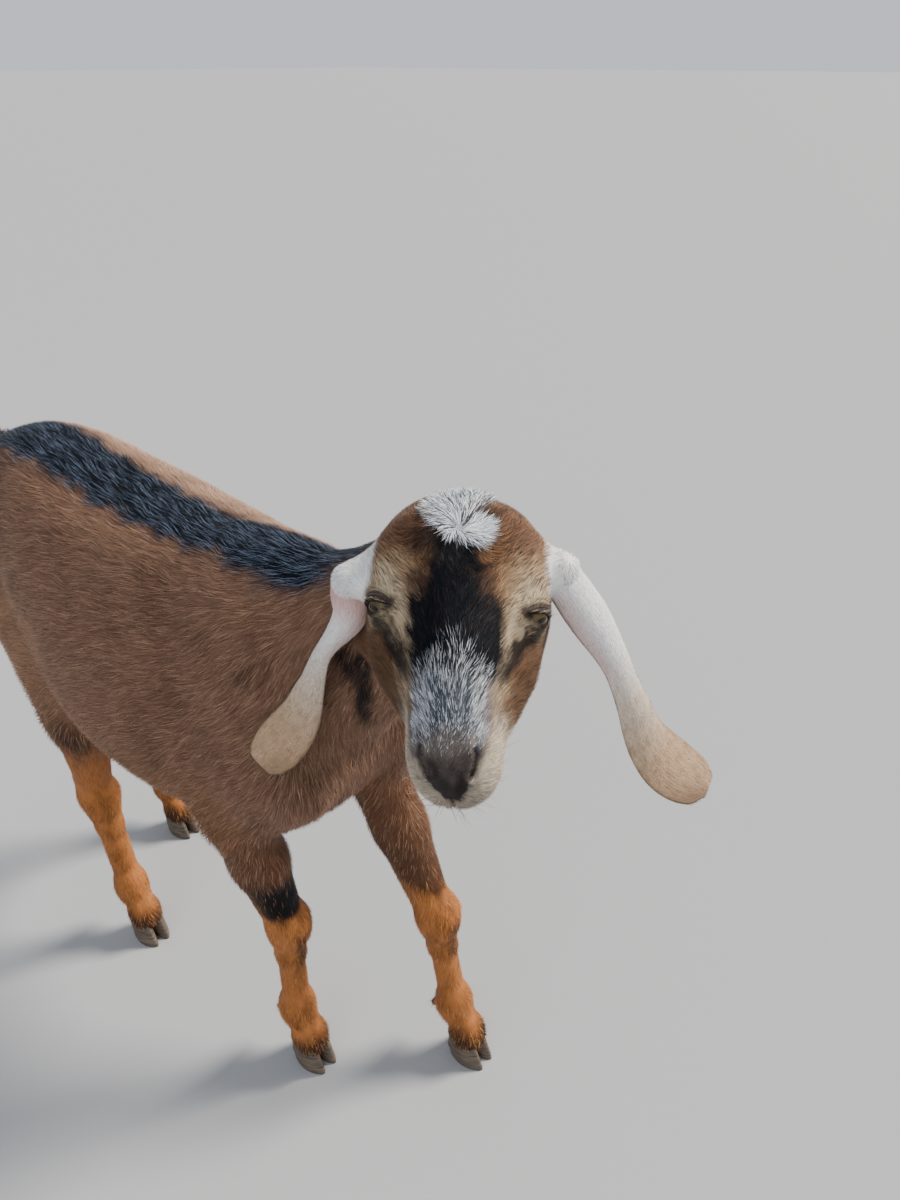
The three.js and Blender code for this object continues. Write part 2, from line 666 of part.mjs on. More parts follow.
const rightEar = earSolid(-1, rightEarPath, rightFacing, rightEarHalf);
const earRoot = 12;
function earFace(path) {
  const outward = unit(sub(path[2], path[0]));
  return [add(path[1], outward, earRoot), outward];
}

// Eyes and lids
const eyeCentre = (side) => fromHead(eyeballAt[0], side * eyeballAt[1], eyeballAt[2]);
const eyeOut = (side) => unit(headTurn(0.43, side * 0.75, 0.5));
const eyeLong = (side) => unit(headTurn(0.36, -side * 0.66, 0.66));
function ball(centre, radius, detail) {
  const sphere = new THREE.SphereGeometry(radius, detail, detail / 2);
  sphere.translate(...centre);
  return solid(sphere);
}
const openLong = 10.6;
const openTall = 3.4;
function lidOpening(side) {
  const shape = new THREE.Shape();
  shape.moveTo(-openLong, 0);
  shape.quadraticCurveTo(0, openTall * 2, openLong, 0);
  shape.quadraticCurveTo(0, -openTall * 2, -openLong, 0);
  const prism = new THREE.ExtrudeGeometry(shape, { depth: 30, bevelEnabled: false, curveSegments: 6 });
  const out = eyeOut(side);
  const long = unit(sub(eyeLong(side), add([0, 0, 0], out, dot(eyeLong(side), out))));
  const tall = cross(out, long);
  const basis = new THREE.Matrix4().makeBasis(
    new THREE.Vector3(...long), new THREE.Vector3(...tall), new THREE.Vector3(...out),
  );
  basis.setPosition(...eyeCentre(side));
  prism.applyMatrix4(basis);
  return solid(prism);
}

// A V-shaped groove along a path on the surface, used for the mouth, the philtrum and nostrils
function groove(path, centre, depth, half, steps) {
  const curve = new THREE.CatmullRomCurve3(path.map((p) => new THREE.Vector3(...p)), false, 'centripetal');
  const rings = [];
  for (let i = 0; i <= steps; i += 1) {
    const t = i / steps;
    const near = curve.getPointAt(t).toArray();
    const axis = curve.getTangentAt(t).toArray();
    const ray = unit(sub(near, centre));
    const surface = add(centre, ray, leave(headField, centre, ray, 80));
    const wide = unit(cross(axis, ray));
    const fade = Math.sqrt(Math.max(0.02, 1 - Math.abs(2 * t - 1) ** 6));
    const inner = add(surface, ray, -depth * fade);
    rings.push([
      inner,
      add(add(surface, ray, 4), wide, half * fade * 2),
      add(add(surface, ray, 4), wide, -half * fade * 2),
    ]);
  }
  const mean = (r) => add([0, 0, 0], add(add(r[0], r[1]), r[2]), 1 / 3);
  let made = solid(closedRings(rings, mean(rings[0]), mean(rings[steps])));
  if (made.volume() < 0) {
    const turned = rings.map((r) => r.slice().reverse());
    made = solid(closedRings(turned, mean(rings[0]), mean(rings[steps])));
  }
  return made;
}
const muzzle = fromHead(126, 0, -8);
const mouthPath = [
  fromFace(118, 29, -22), fromFace(138, 22, -22), fromFace(152, 13, -20), fromFace(158, 0, -19.5),
  fromFace(152, -13, -20), fromFace(138, -22, -22), fromFace(118, -29, -22),
];
const philtrumPath = [fromFace(162, 0, -7), fromFace(161, 0, -13), fromFace(159, 0, -19)];
const nostrilPath = (side) => [
  fromFace(154, side * 12, 5), fromFace(151, side * 14.5, 8), fromFace(147, side * 15.5, 11),
  fromFace(144, side * 14.5, 14.5),
];

let head = headSkin.intersect(region(headFaces, gap));
for (const [ear, path] of [[leftEar, leftEarPath], [rightEar, rightEarPath]]) {
  const [point, normal] = earFace(path);
  head = head.add(ear.subtract(faceBox([point, normal], 0)));
}
for (const side of [1, -1]) {
  const centre = eyeCentre(side);
  head = head.subtract(lidOpening(side));
  head = head.subtract(ball(centre, eyeballRadius + gap, 16));
  head = head.subtract(groove(nostrilPath(side), muzzle, 7, 1.15, 12));
}
head = head.subtract(groove(mouthPath, muzzle, 3.2, 0.5, 28));
head = head.subtract(groove(philtrumPath, muzzle, 2.2, 0.4, 6));

// Poll tuft: locks that fan out from the whorl between the ears
const whorl = [21, 0];
const pollLocks = 22;
const pollReach = 21;
const pollCentre = fromHead(whorl[0], 0, 0);
for (let i = 0; i < pollLocks; i += 1) {
  const spread = pollReach * Math.sqrt((i + 0.5) / pollLocks);
  const turn = i * 2.4 + random(-0.2, 0.2);
  const target = fromHead(whorl[0] + spread * Math.cos(turn), whorl[1] + spread * Math.sin(turn), 60);
  const ray = unit(sub(target, pollCentre));
  const root = add(pollCentre, ray, leave(wholeGoat, pollCentre, ray, 80));
  const lie = headTurn(Math.cos(turn + 0.35), Math.sin(turn + 0.35), 0);
  head = head.add(lock(root, normalAt(wholeGoat, root), lie, {
    long: random(15, 22), wide: random(6, 8), thick: 2.2, rise: random(2, 4), sink: 3,
  }));
}
place('head', head, 'body');
for (const [side, name] of [[1, 'left'], [-1, 'right']]) {
  place(`eye_${name}`, ball(eyeCentre(side), eyeballRadius, 16), 'eye');
  const path = side > 0 ? leftEarPath : rightEarPath;
  const [point, normal] = earFace(path);
  const ear = (side > 0 ? leftEar : rightEar).intersect(faceBox([point, normal], gap));
  place(`ear_${name}`, ear, 'ear');
}

// The whole goat stands with its box centred over the origin and its soles at Z = 0
const bounds = new THREE.Box3().setFromObject(goat);
const middle = bounds.getCenter(new THREE.Vector3());
for (const mesh of goat.children) {
  mesh.geometry.translate(-middle.x, -middle.y, -bounds.min.z);
}

export default goat;
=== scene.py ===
import math

import bmesh
import bpy
import numpy as np
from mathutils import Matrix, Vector


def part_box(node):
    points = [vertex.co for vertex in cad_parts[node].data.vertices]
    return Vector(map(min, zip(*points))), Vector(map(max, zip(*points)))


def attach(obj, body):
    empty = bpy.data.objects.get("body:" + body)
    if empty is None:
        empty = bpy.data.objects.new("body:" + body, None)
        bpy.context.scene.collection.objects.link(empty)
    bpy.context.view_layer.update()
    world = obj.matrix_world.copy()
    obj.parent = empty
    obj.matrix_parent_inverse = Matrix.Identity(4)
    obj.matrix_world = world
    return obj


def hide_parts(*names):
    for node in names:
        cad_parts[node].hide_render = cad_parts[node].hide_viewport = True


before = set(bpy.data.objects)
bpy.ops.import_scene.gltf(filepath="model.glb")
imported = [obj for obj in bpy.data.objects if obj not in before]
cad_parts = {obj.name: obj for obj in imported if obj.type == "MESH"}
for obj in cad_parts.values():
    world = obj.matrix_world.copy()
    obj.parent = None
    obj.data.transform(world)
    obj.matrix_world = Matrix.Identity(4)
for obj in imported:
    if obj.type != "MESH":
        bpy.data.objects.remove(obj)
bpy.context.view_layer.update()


# Camera
# It stands close in front of the goat and above its head, looks down on it and keeps the photo's
# framing. The goat's own frame is the one in which its head is placed, so that comes first.
def unit(a):
    a = np.array(a, float)
    return a / np.linalg.norm(a)


mm = 0.001
eye_spread = 46
eye_station = 62
eye_lift = 18
mid_eyes = np.array([276.6, -11.6, 516.4])
head_yaw = math.radians(-54.3)
head_pitch = math.radians(23)
head_roll = math.radians(3.5)
along = np.array([math.cos(head_pitch) * math.cos(head_yaw),
                  math.cos(head_pitch) * math.sin(head_yaw),
                  -math.sin(head_pitch)])
level = np.array([-math.sin(head_yaw), math.cos(head_yaw), 0])
across = unit(level - np.cross(along, level) * math.tan(head_roll))
dorsal = np.cross(along, across)
nape = mid_eyes - along * eye_station - dorsal * eye_lift


def head_turn(s, y, z):
    return along * s + across * y + dorsal * z


def from_head(s, y, z):
    return nape + head_turn(s, y, z)


eyeball_at = np.array([eye_station - 1, eye_spread - 9, eye_lift - 3])
low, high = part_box("eye_right")
eye_in_cad = (np.array(low) + np.array(high)) / 2 / mm
to_cad = eye_in_cad - from_head(eyeball_at[0], -eyeball_at[1], eyeball_at[2])


def metres(p):
    return (np.asarray(p, float) + to_cad) * mm


camera_at = np.array([537.5, -332.0, 771.4])
camera_looks = np.array([-0.5476, 0.6581, -0.5168])
sensor_tall = 36
lens_length = 27.03
nearest_seen = 0.02
camera_data = bpy.data.cameras.new("photo_camera")
camera_data.sensor_fit = "VERTICAL"
camera_data.sensor_height = sensor_tall
camera_data.lens = lens_length
camera_data.clip_start = nearest_seen


def in_scene(name, data):
    thing = bpy.data.objects.new(name, data)
    bpy.context.scene.collection.objects.link(thing)
    return thing


camera = in_scene("photo_camera", camera_data)
camera.location = Vector(metres(camera_at))
camera.rotation_euler = Vector(camera_looks).to_track_quat("-Z", "Y").to_euler()
bpy.context.scene.camera = camera


# Skin
# One hide over the whole animal, from the lips to the end of the dock and down to the hooves.
# It lies under the coat by the depth of the hair and carries the markings of the coat.
def blend(a, b, width):
    """The union of two distance fields, rounded where they meet."""
    h = np.maximum(width - np.abs(a - b), 0) / width
    return np.minimum(a, b) - h * h * width / 4


def profile(points):
    """A smooth curve through the points, as a function."""
    xs, ys = np.array(points, float).T
    last = len(xs) - 1
    before = np.maximum(np.arange(last + 1) - 1, 0)
    after = np.minimum(np.arange(last + 1) + 1, last)
    slope = (ys[after] - ys[before]) / (xs[after] - xs[before])

    def at(x):
        x = np.asarray(x, float)
        i = np.clip(np.searchsorted(xs, x, side="left") - 1, 0, last - 1)
        w = xs[i + 1] - xs[i]
        t = np.clip((x - xs[i]) / w, 0, 1)
        t2 = t * t
        t3 = t2 * t
        return ((2 * t3 - 3 * t2 + 1) * ys[i] + (t3 - 2 * t2 + t) * w * slope[i]
                + (3 * t2 - 2 * t3) * ys[i + 1] + (t3 - t2) * w * slope[i + 1])
    return at


def cone(p, a, b, ra, rb, flat=1, side=(0, 1, 0)):
    a = np.array(a, float)
    ab = np.array(b, float) - a
    side = np.array(side, float)
    t = np.clip((p - a) @ ab / (ab @ ab), 0, 1)
    q = p - a - t[:, None] * ab
    if flat != 1:
        q = q + (q @ side * (1 / flat - 1))[:, None] * side
    return np.sqrt((q * q).sum(1)) - (ra + (rb - ra) * t)


def ellipsoid(p, c, r):
    r = np.array(r, float)
    q = (p - np.array(c, float)) / r
    k = np.sqrt((q * q).sum(1))
    g = np.sqrt(((q / r) ** 2).sum(1))
    return k * (k - 1) / np.maximum(g, 1e-9)


def section(y, z, bottom, top, half, narrow, low_power, top_power):
    """How far outside a rounded cross-section each point is."""
    middle = (top + bottom) / 2
    tall = (top - bottom) / 2
    up = (z - middle) / tall
    power = np.where(up > 0, top_power, low_power)
    wide = half * (1 - narrow * np.clip(up, -1.2, 1.2))
    rho = (np.abs(y / wide) ** power + np.abs(up) ** power) ** (1 / power)
    r = np.hypot(y, z - middle)
    return np.where(rho > 0.05, r * (1 - 1 / np.maximum(rho, 0.05)), -np.minimum(tall, half))


def capped(d, over, roundness):
    a = d + roundness
    b = over + roundness
    outer = np.hypot(np.maximum(a, 0), np.maximum(b, 0))
    return outer + np.minimum(np.maximum(a, b), 0) - roundness


rump_end = -256
chest_end = 188
trunk_round = 30
back_line = profile([
    (rump_end, 478), (-225, 497), (-190, 509), (-150, 511), (-90, 502), (-20, 495),
    (60, 495), (110, 498), (145, 488), (172, 460), (chest_end, 430)])
belly_line = profile([
    (rump_end, 362), (-225, 338), (-190, 320), (-130, 296), (-75, 272), (-20, 259),
    (40, 258), (90, 266), (130, 278), (160, 298), (chest_end, 330)])
trunk_half = profile([
    (rump_end, 46), (-225, 57), (-190, 69), (-150, 79), (-90, 93), (-40, 99),
    (30, 94), (80, 82), (125, 67), (160, 52), (chest_end, 38)])
belly_power = 2.8
back_power = 2.2
trunk_narrow = profile([(rump_end, 0.02), (-150, 0.02), (-40, 0), (60, 0.06), (chest_end, 0.2)])


def trunk_field(p):
    x = np.clip(p[:, 0], rump_end, chest_end)
    d = section(p[:, 1], p[:, 2], belly_line(x), back_line(x), trunk_half(x), trunk_narrow(x),
                belly_power, back_power)
    over = np.maximum(p[:, 0] - chest_end, rump_end - p[:, 0])
    return capped(d, over, trunk_round)


limbs = {
    "fore_right": dict(
        front=True, side=-1, shoulder=(150, -46, 352), elbow=(100, -55, 295),
        knee=(117, -36, 162), fetlock=(119, -38, 58), coronet=(131, -38, 31)),
    "fore_left": dict(
        front=True, side=1, shoulder=(158, 46, 352), elbow=(133, 55, 290),
        knee=(204, 51, 159), fetlock=(222, 53, 58), coronet=(236, 54, 31)),
    "hind_right": dict(
        front=False, side=-1, hip=(-192, -42, 408), stifle=(-112, -62, 322),
        hock=(-127, -55, 172), fetlock=(-110, -54, 58), coronet=(-96, -54, 31)),
    "hind_left": dict(
        front=False, side=1, hip=(-192, 42, 408), stifle=(-124, 62, 312),
        hock=(-213, 57, 180), fetlock=(-206, 56, 58), coronet=(-193, 56, 31)),
}
knee_radius = 18.5
fore_cannon_radius = 12.8
hock_radius = 18.5
hind_cannon_radius = 13.4
fetlock_radius = 17
pastern_radius = 14
coronet_radius = 17


def moved(a, by):
    return np.array(a, float) + np.array(by, float)


def between(a, b, t):
    return np.array(a, float) + (np.array(b, float) - np.array(a, float)) * t


def run_together(p, forms, d=1e6):
    """Blends cones into the field: each has the width of its blend, ends, radii and flatness."""
    for width, *form in forms:
        d = blend(d, cone(p, *form), width)
    return d


dew_behind = (-17, 0, -9)
dew_spread = 7
dew_radius = 4.6


def cannon_field(p, start, limb, radius):
    fetlock = limb["fetlock"]
    coronet = limb["coronet"]
    dew = moved(fetlock, dew_behind)
    return run_together(p, [
        (9, start, fetlock, radius, radius),
        (9, moved(fetlock, (0, 0, 6)), moved(fetlock, (-1, 0, -2)), fetlock_radius,
         fetlock_radius - 0.5, 0.94),
        (5, moved(dew, (0, dew_spread, 0)), moved(dew, (0, -dew_spread, 0)), dew_radius, dew_radius),
        (8, fetlock, coronet, pastern_radius, pastern_radius + 0.5),
        (7, coronet, moved(coronet, (2, 0, -5)), coronet_radius, coronet_radius - 0.5, 0.96)])


def fore_field(p, limb):
    elbow = limb["elbow"]
    knee = limb["knee"]
    calf = between(elbow, knee, 0.42)
    knee_front = moved(knee, (4, 0, -2))
    below = between(knee, limb["fetlock"], 0.3)
    blade = ellipsoid(p, (118, 40 * limb["side"], 396), (58, 27, 80))
    d = run_together(p, [
        (14, elbow, calf, 33, 25, 0.86),
        (12, calf, knee, 25, knee_radius - 1.5, 0.9),
        (18, moved(elbow, (-22, 0, 4)), elbow, 14, 20),
        (8, moved(knee_front, (0, 0, 10)), knee_front, knee_radius, knee_radius - 0.5),
        (10, knee, below, knee_radius - 2, fore_cannon_radius + 0.8),
    ], blend(cone(p, limb["shoulder"], elbow, 40, 33, 0.72), blade, 30))
    return blend(d, cannon_field(p, below, limb, fore_cannon_radius), 8)


def hind_field(p, limb):
    hip = limb["hip"]
    stifle = limb["stifle"]
    hock = limb["hock"]
    gaskin = between(stifle, hock, 0.34)
    rear = (hip[0] - 36, 34 * limb["side"], 402)
    heel = moved(hock, (-15, 0, 17))
    below = between(hock, limb["fetlock"], 0.3)
    d = run_together(p, [
        (34, hip, stifle, 56, 41, 0.74),
        (34, rear, moved(gaskin, (-16, 0, 6)), 34, 23, 0.9),
        (22, stifle, gaskin, 38, 30, 0.72),
        (16, gaskin, hock, 29, hock_radius - 3, 0.86),
        (16, moved(gaskin, (-22, 0, -14)), heel, 13, 9),
        (12, heel, hock, 10.5, hock_radius - 1),
        (10, hock, moved(hock, (2, 0, -14)), hock_radius, hock_radius - 2, 0.92),
        (10, hock, below, hock_radius - 2, hind_cannon_radius + 0.8, 0.94)])
    return blend(d, cannon_field(p, below, limb, hind_cannon_radius), 8)


neck_path = [
    ((112, 0, 414), 80, 0.6), ((160, 3, 438), 63, 0.7), ((206, 17, 467), 50, 0.78),
    ((241, 32, 511), 38, 0.95)]
neck_side = unit((-0.24, 0.97, 0))


def neck_field(p):
    d = np.full(len(p), 1e6)
    for (a, deep_a, wide_a), (b, deep_b, wide_b) in zip(neck_path, neck_path[1:]):
        d = blend(d, cone(p, a, b, deep_a, deep_b, (wide_a + wide_b) / 2, neck_side), 14)
    return d


nape_end = -22
lip_end = 161.5
lip_round = 11.5
brow_line = profile([
    (nape_end, 8), (-8, 29), (8, 41), (28, 47), (50, 45), (75, 40), (100, 36), (120, 30.5),
    (138, 23), (149, 13), (lip_end, 0)])
jaw_line = profile([
    (nape_end, -14), (-5, -30), (15, -45), (40, -52), (70, -46), (100, -38), (124, -32),
    (142, -29), (lip_end, -25)])
head_half = profile([
    (nape_end, 20), (-5, 39), (15, 49), (40, 51.5), (64, 48), (85, 42), (104, 34),
    (122, 26.5), (140, 22.8), (151, 19.2), (lip_end, 14.5)])
head_narrow = profile([
    (nape_end, 0), (30, 0.02), (62, 0.14), (92, 0.28), (122, 0.22), (lip_end, 0.06)])
# Swellings and hollows of the face: station, side, lift, height and radius
face_forms = [
    (32, 31, 38, 6, 18), (50, 41, 30, 5.5, 12), (68, 45, 12, -4, 11), (84, 34, 24, -3.5, 13),
    (82, 41, -2, 2.5, 17), (44, 40, -24, 4, 24), (105, 28, 14, -3, 18), (143, 18, -10, 2.5, 13),
    (148, 13, 14, 2.2, 8)]
mid_forms = [(40, 0, 48, -2, 12), (151, 0, -27, 2.5, 9), (157, 0, 6, 1.6, 10)]
gap = 0.3
lid_thickness = 2.2
eyeball_radius = 11.6
lid_blend = 12


def in_head(p):
    q = p - nape
    return q @ along, q @ across, q @ dorsal


def smooth(low_end, high_end, x):
    t = np.clip((x - low_end) / (high_end - low_end), 0, 1)
    return t * t * (3 - 2 * t)


# The kid is chewing: lips and jaw are set over to its left below the nose
jaw_set = 5
head_power = 2.3


def unit_rows(rows, least=0):
    return rows / np.maximum(np.linalg.norm(rows, axis=-1), least)[..., None]


def jaw_shift(s, z):
    return jaw_set * smooth(70, 125, s) * (1 - smooth(-18, 14, z))


def on_face(p):
    s, y, z = in_head(p)
    return s, y - jaw_shift(s, z), z


def head_field(p):
    s, y, z = on_face(p)
    at = np.clip(s, nape_end, lip_end)
    d = section(y, z, jaw_line(at), brow_line(at), head_half(at), head_narrow(at),
                head_power, head_power)
    d = np.where(s < nape_end, np.hypot(np.maximum(d, 0), nape_end - s) + np.minimum(d, 0), d)
    d = capped(d, s - lip_end, lip_round)
    for fs, fy, fz, height, radius in face_forms:
        r2 = (s - fs) ** 2 + (np.abs(y) - fy) ** 2 + (z - fz) ** 2
        d = d - height * np.exp(-r2 / radius ** 2)
    for fs, fy, fz, height, radius in mid_forms:
        r2 = (s - fs) ** 2 + (y - fy) ** 2 + (z - fz) ** 2
        d = d - height * np.exp(-r2 / radius ** 2)
    lids = np.sqrt((s - eyeball_at[0]) ** 2 + (np.abs(y) - eyeball_at[1]) ** 2
                   + (z - eyeball_at[2]) ** 2)
    return blend(d, lids - eyeball_radius - gap - lid_thickness, lid_blend)


ear_stub = {
    "left": (from_head(26, 28, 8), np.array([306, 42, 528.0])),
    "right": (from_head(26, -28, 8), np.array([216, -32, 521.0]))}
ear_stub_wide = 17
ear_stub_narrow = 11.5
dock = [(-236, 0, 455), (-263, 0, 466), (-290, 0, 465), (-309, 0, 444)]
neck_blend = 30
leg_blend = 18
ear_blend = 14
head_blend = 22
dock_blend = 10


def dock_field(p):
    return run_together(p, [
        (8, dock[0], dock[1], 17, 15, 1.1),
        (8, dock[1], dock[2], 15, 15, 1.3),
        (8, dock[2], dock[3], 15, 9, 1.4)])


def goat_field(p):
    d = blend(trunk_field(p), neck_field(p), neck_blend)
    for limb in limbs.values():
        d = blend(d, fore_field(p, limb) if limb["front"] else hind_field(p, limb), leg_blend)
    ears = np.minimum(*[cone(p, a, b, ear_stub_wide, ear_stub_narrow) for a, b in ear_stub.values()])
    d = blend(d, blend(head_field(p), ears, ear_blend), head_blend)
    return blend(d, dock_field(p), dock_blend)


# How deep the coat lies: short on the face and lower legs, longest over the back and neck
trunk_coat = 3.4
face_coat = 1.5
leg_coat = 1.7
leg_heights = (190, 300)


def coat_depth(p):
    s, y, z = in_head(p)
    near_head = np.sqrt((s - 70) ** 2 + y ** 2 + (z - 5) ** 2)
    face = 1 - smooth(95, 140, near_head)
    leg = 1 - smooth(*leg_heights, p[:, 2])
    depth = trunk_coat + (leg_coat - trunk_coat) * leg
    return depth + (face_coat - depth) * face


def skin_field(p):
    return goat_field(p) + coat_depth(p)


def blockwise(function, p, block=120000):
    return np.concatenate([function(p[i:i + block]) for i in range(0, len(p), block)])


# The skin's mesh starts as a net on a coarse grid and is refined on the face
net_step = 3.0
coarse_ratio = 4
net_low = np.array([-334.0, -132.0, 18.0])
net_high = np.array([362.0, 120.0, 582.0])
near_skin = 22.0


def grid_values():
    coarse_step = net_step * coarse_ratio
    counts = np.ceil((net_high - net_low) / coarse_step).astype(int)
    axes = [net_low[k] + coarse_step * np.arange(counts[k]) for k in range(3)]
    grid = np.stack(np.meshgrid(*axes, indexing="ij"), -1).reshape(-1, 3)
    middle = blockwise(skin_field, grid + (coarse_ratio - 1) / 2 * net_step).reshape(counts)
    fine = middle
    for axis in range(3):
        fine = np.repeat(fine, coarse_ratio, axis)
    near = np.argwhere(np.abs(fine) < near_skin)
    fine[tuple(near.T)] = blockwise(skin_field, net_low + near * net_step)
    return fine


def surface_net(values):
    inside = values < 0
    cells = tuple(n - 1 for n in values.shape)
    corners = [(a, b, c) for a in (0, 1) for b in (0, 1) for c in (0, 1)]

    def corner(grid, offset):
        return grid[tuple(slice(o, o + n) for o, n in zip(offset, cells))]

    filled = sum(corner(inside, o).astype(np.int8) for o in corners)
    mixed = (filled > 0) & (filled < 8)
    index = np.full(cells, -1, np.int64)
    index[mixed] = np.arange(mixed.sum())
    total = np.zeros((mixed.sum(), 3))
    count = np.zeros(mixed.sum())
    for offset in corners:
        for axis in range(3):
            if offset[axis]:
                continue
            other = tuple(o + (k == axis) for k, o in enumerate(offset))
            a = corner(values, offset)[mixed]
            b = corner(values, other)[mixed]
            crossed = (a < 0) != (b < 0)
            t = np.where(crossed, a / np.where(crossed, a - b, 1), 0)
            point = np.tile(np.array(offset, float), (len(a), 1))
            point[:, axis] += t
            total += point * crossed[:, None]
            count += crossed
    points = np.argwhere(mixed) + total / count[:, None]
    quads = []
    for axis in range(3):
        b, c = [k for k in range(3) if k != axis]
        span = [slice(1, -1)] * 3
        span[axis] = slice(0, -1)
        ahead = list(span)
        ahead[axis] = slice(1, None)
        first = inside[tuple(span)]
        second = inside[tuple(ahead)]
        edges = np.argwhere(first != second)
        turned = first[tuple(edges.T)]
        for k in (b, c):
            edges[:, k] += 1
        ring = []
        for db, dc in ((0, 0), (-1, 0), (-1, -1), (0, -1)):
            cell = edges.copy()
            cell[:, b] += db
            cell[:, c] += dc
            ring.append(index[tuple(cell.T)])
        ring = np.stack(ring, 1)
        flip = turned if axis != 1 else ~turned
        ring[flip] = ring[flip][:, ::-1]
        quads.append(ring)
    return net_low + points * net_step, np.concatenate(quads)


def gradient(field, p, step=0.35):
    out = np.empty_like(p)
    for k in range(3):
        nudge = np.zeros(3)
        nudge[k] = step
        out[:, k] = (field(p + nudge) - field(p - nudge)) / (2 * step)
    return out


def settle(p, field, turns):
    for _ in range(turns):
        g = gradient(field, p)
        d = field(p)
        p = p - g * (d / np.maximum((g * g).sum(1), 0.2))[:, None]
    return p


def read_back(items, name, width, kind):
    """One value or row of values of every item of a mesh."""
    values = np.empty(len(items) * width, kind)
    items.foreach_get(name, values)
    return values.reshape(-1, width) if width > 1 else values


points, faces = surface_net(grid_values())
points = settle(points, skin_field, 2)
net = bmesh.new()
net_verts = [net.verts.new(p) for p in points]
for quad in faces:
    net.faces.new([net_verts[i] for i in quad[::-1]])
net.verts.ensure_lookup_table()
refinements = [
    (from_head(92, 0, 0), 84.0), (from_head(150, 0, 0), 36.0),
    (from_head(64, 38, 16), 22.0), (from_head(64, -38, 16), 22.0)]
for centre, radius in refinements:
    centre = Vector(centre)
    near_edges = [e for e in net.edges if (e.verts[0].co - centre).length < radius]
    bmesh.ops.subdivide_edges(net, edges=near_edges, cuts=1, use_grid_fill=True)
bmesh.ops.triangulate(net, faces=[f for f in net.faces if len(f.verts) > 4])
skin_mesh = bpy.data.meshes.new("goat_skin")
net.to_mesh(skin_mesh)
net.free()
points = settle(read_back(skin_mesh.vertices, "co", 3, float), skin_field, 2)
faces = [tuple(f.vertices) for f in skin_mesh.polygons]


# Lids, nostrils and lips are worked into the finer part of the net
nostril_path = np.array([(154, 12, 5), (151, 14.5, 8), (147, 15.5, 11), (144, 14.5, 14.5)], float)
nostril_depth = 6.5
nostril_half = 1.5
wing_height = 1.1
wing_off = 3.6
wing_half = 1.7
mouth_path = np.array([(118, 29, -22), (138, 22, -22), (152, 13, -20), (158, 0, -19.5)], float)
mouth_depth = 2.6
mouth_half = 1.1
philtrum_path = np.array([(162, 0, -7), (161, 0, -13), (159, 0, -19)], float)
philtrum_depth = 1.8
philtrum_half = 0.9
lid_long = 10.6
upper_lid = 2.8
lower_lid = 3.9
lid_rise = 0.75
lid_snap = 0.42
crease_lifts = [2.4, 4.8]
crease_long = 15
crease_depth = 1.2
crease_half = 0.7
fold_height = 0.9
fold_half = 0.9
fold_over_crease = 1.3
bag_drop = 3.2
bag_long = 14
bag_depth = 0.6
bag_half = 0.8


def to_path(q, path):
    best = np.full(len(q), 1e9)
    for a, b in zip(path, path[1:]):
        ab = b - a
        t = np.clip((q - a) @ ab / (ab @ ab), 0, 1)
        best = np.minimum(best, np.linalg.norm(q - a - t[:, None] * ab, axis=1))
    return best


def eye_axes(turn):
    out = unit(head_turn(0.43, 0.75 * turn, 0.5))
    long = head_turn(0.36, -0.66 * turn, 0.66)
    long = unit(long - out * (long @ out))
    up = -turn * np.cross(out, long)
    centre = from_head(eyeball_at[0], turn * eyeball_at[1], eyeball_at[2])
    return centre, out, long, up


def in_eye(p, turn):
    centre, out, long, up = eye_axes(turn)
    q = p - centre
    return q @ long, q @ up, q @ out


def beyond_lid(a, b):
    arch = np.maximum(1 - (a / lid_long) ** 2, 0)
    over = np.where(b > 0, b - upper_lid * arch, -b - lower_lid * arch)
    return np.where(np.abs(a) < lid_long, over, np.hypot(np.abs(a) - lid_long, b))


def over_crease(a, b, crease_lift):
    return b - (upper_lid + crease_lift) * (1 - (a / crease_long) ** 2)


def bell(x, half):
    return np.exp(-(x / half) ** 2)


def from_face(q):
    s, y, z = q.T
    y = y + jaw_shift(s, z)
    return nape + s[:, None] * along + y[:, None] * across + z[:, None] * dorsal


def on_skin(path, steps=8):
    """The path with more points, each drawn onto the skin, in the goat's own frame."""
    spots = np.linspace(0, len(path) - 1, (len(path) - 1) * steps + 1)
    dense = np.stack([np.interp(spots, np.arange(len(path)), path[:, k]) for k in range(3)], 1)
    return settle(from_face(dense), skin_field, 4)


mirror = np.array([1, -1, 1])
nostril_lines = [on_skin(nostril_path), on_skin(nostril_path * mirror)]
mouth_line = on_skin(np.vstack([mouth_path, (mouth_path * mirror)[-2::-1]]))
philtrum_line = on_skin(philtrum_path)


def face_lines(p):
    nostril = np.minimum(*[to_path(p, line) for line in nostril_lines])
    return nostril, to_path(p, mouth_line), to_path(p, philtrum_line)


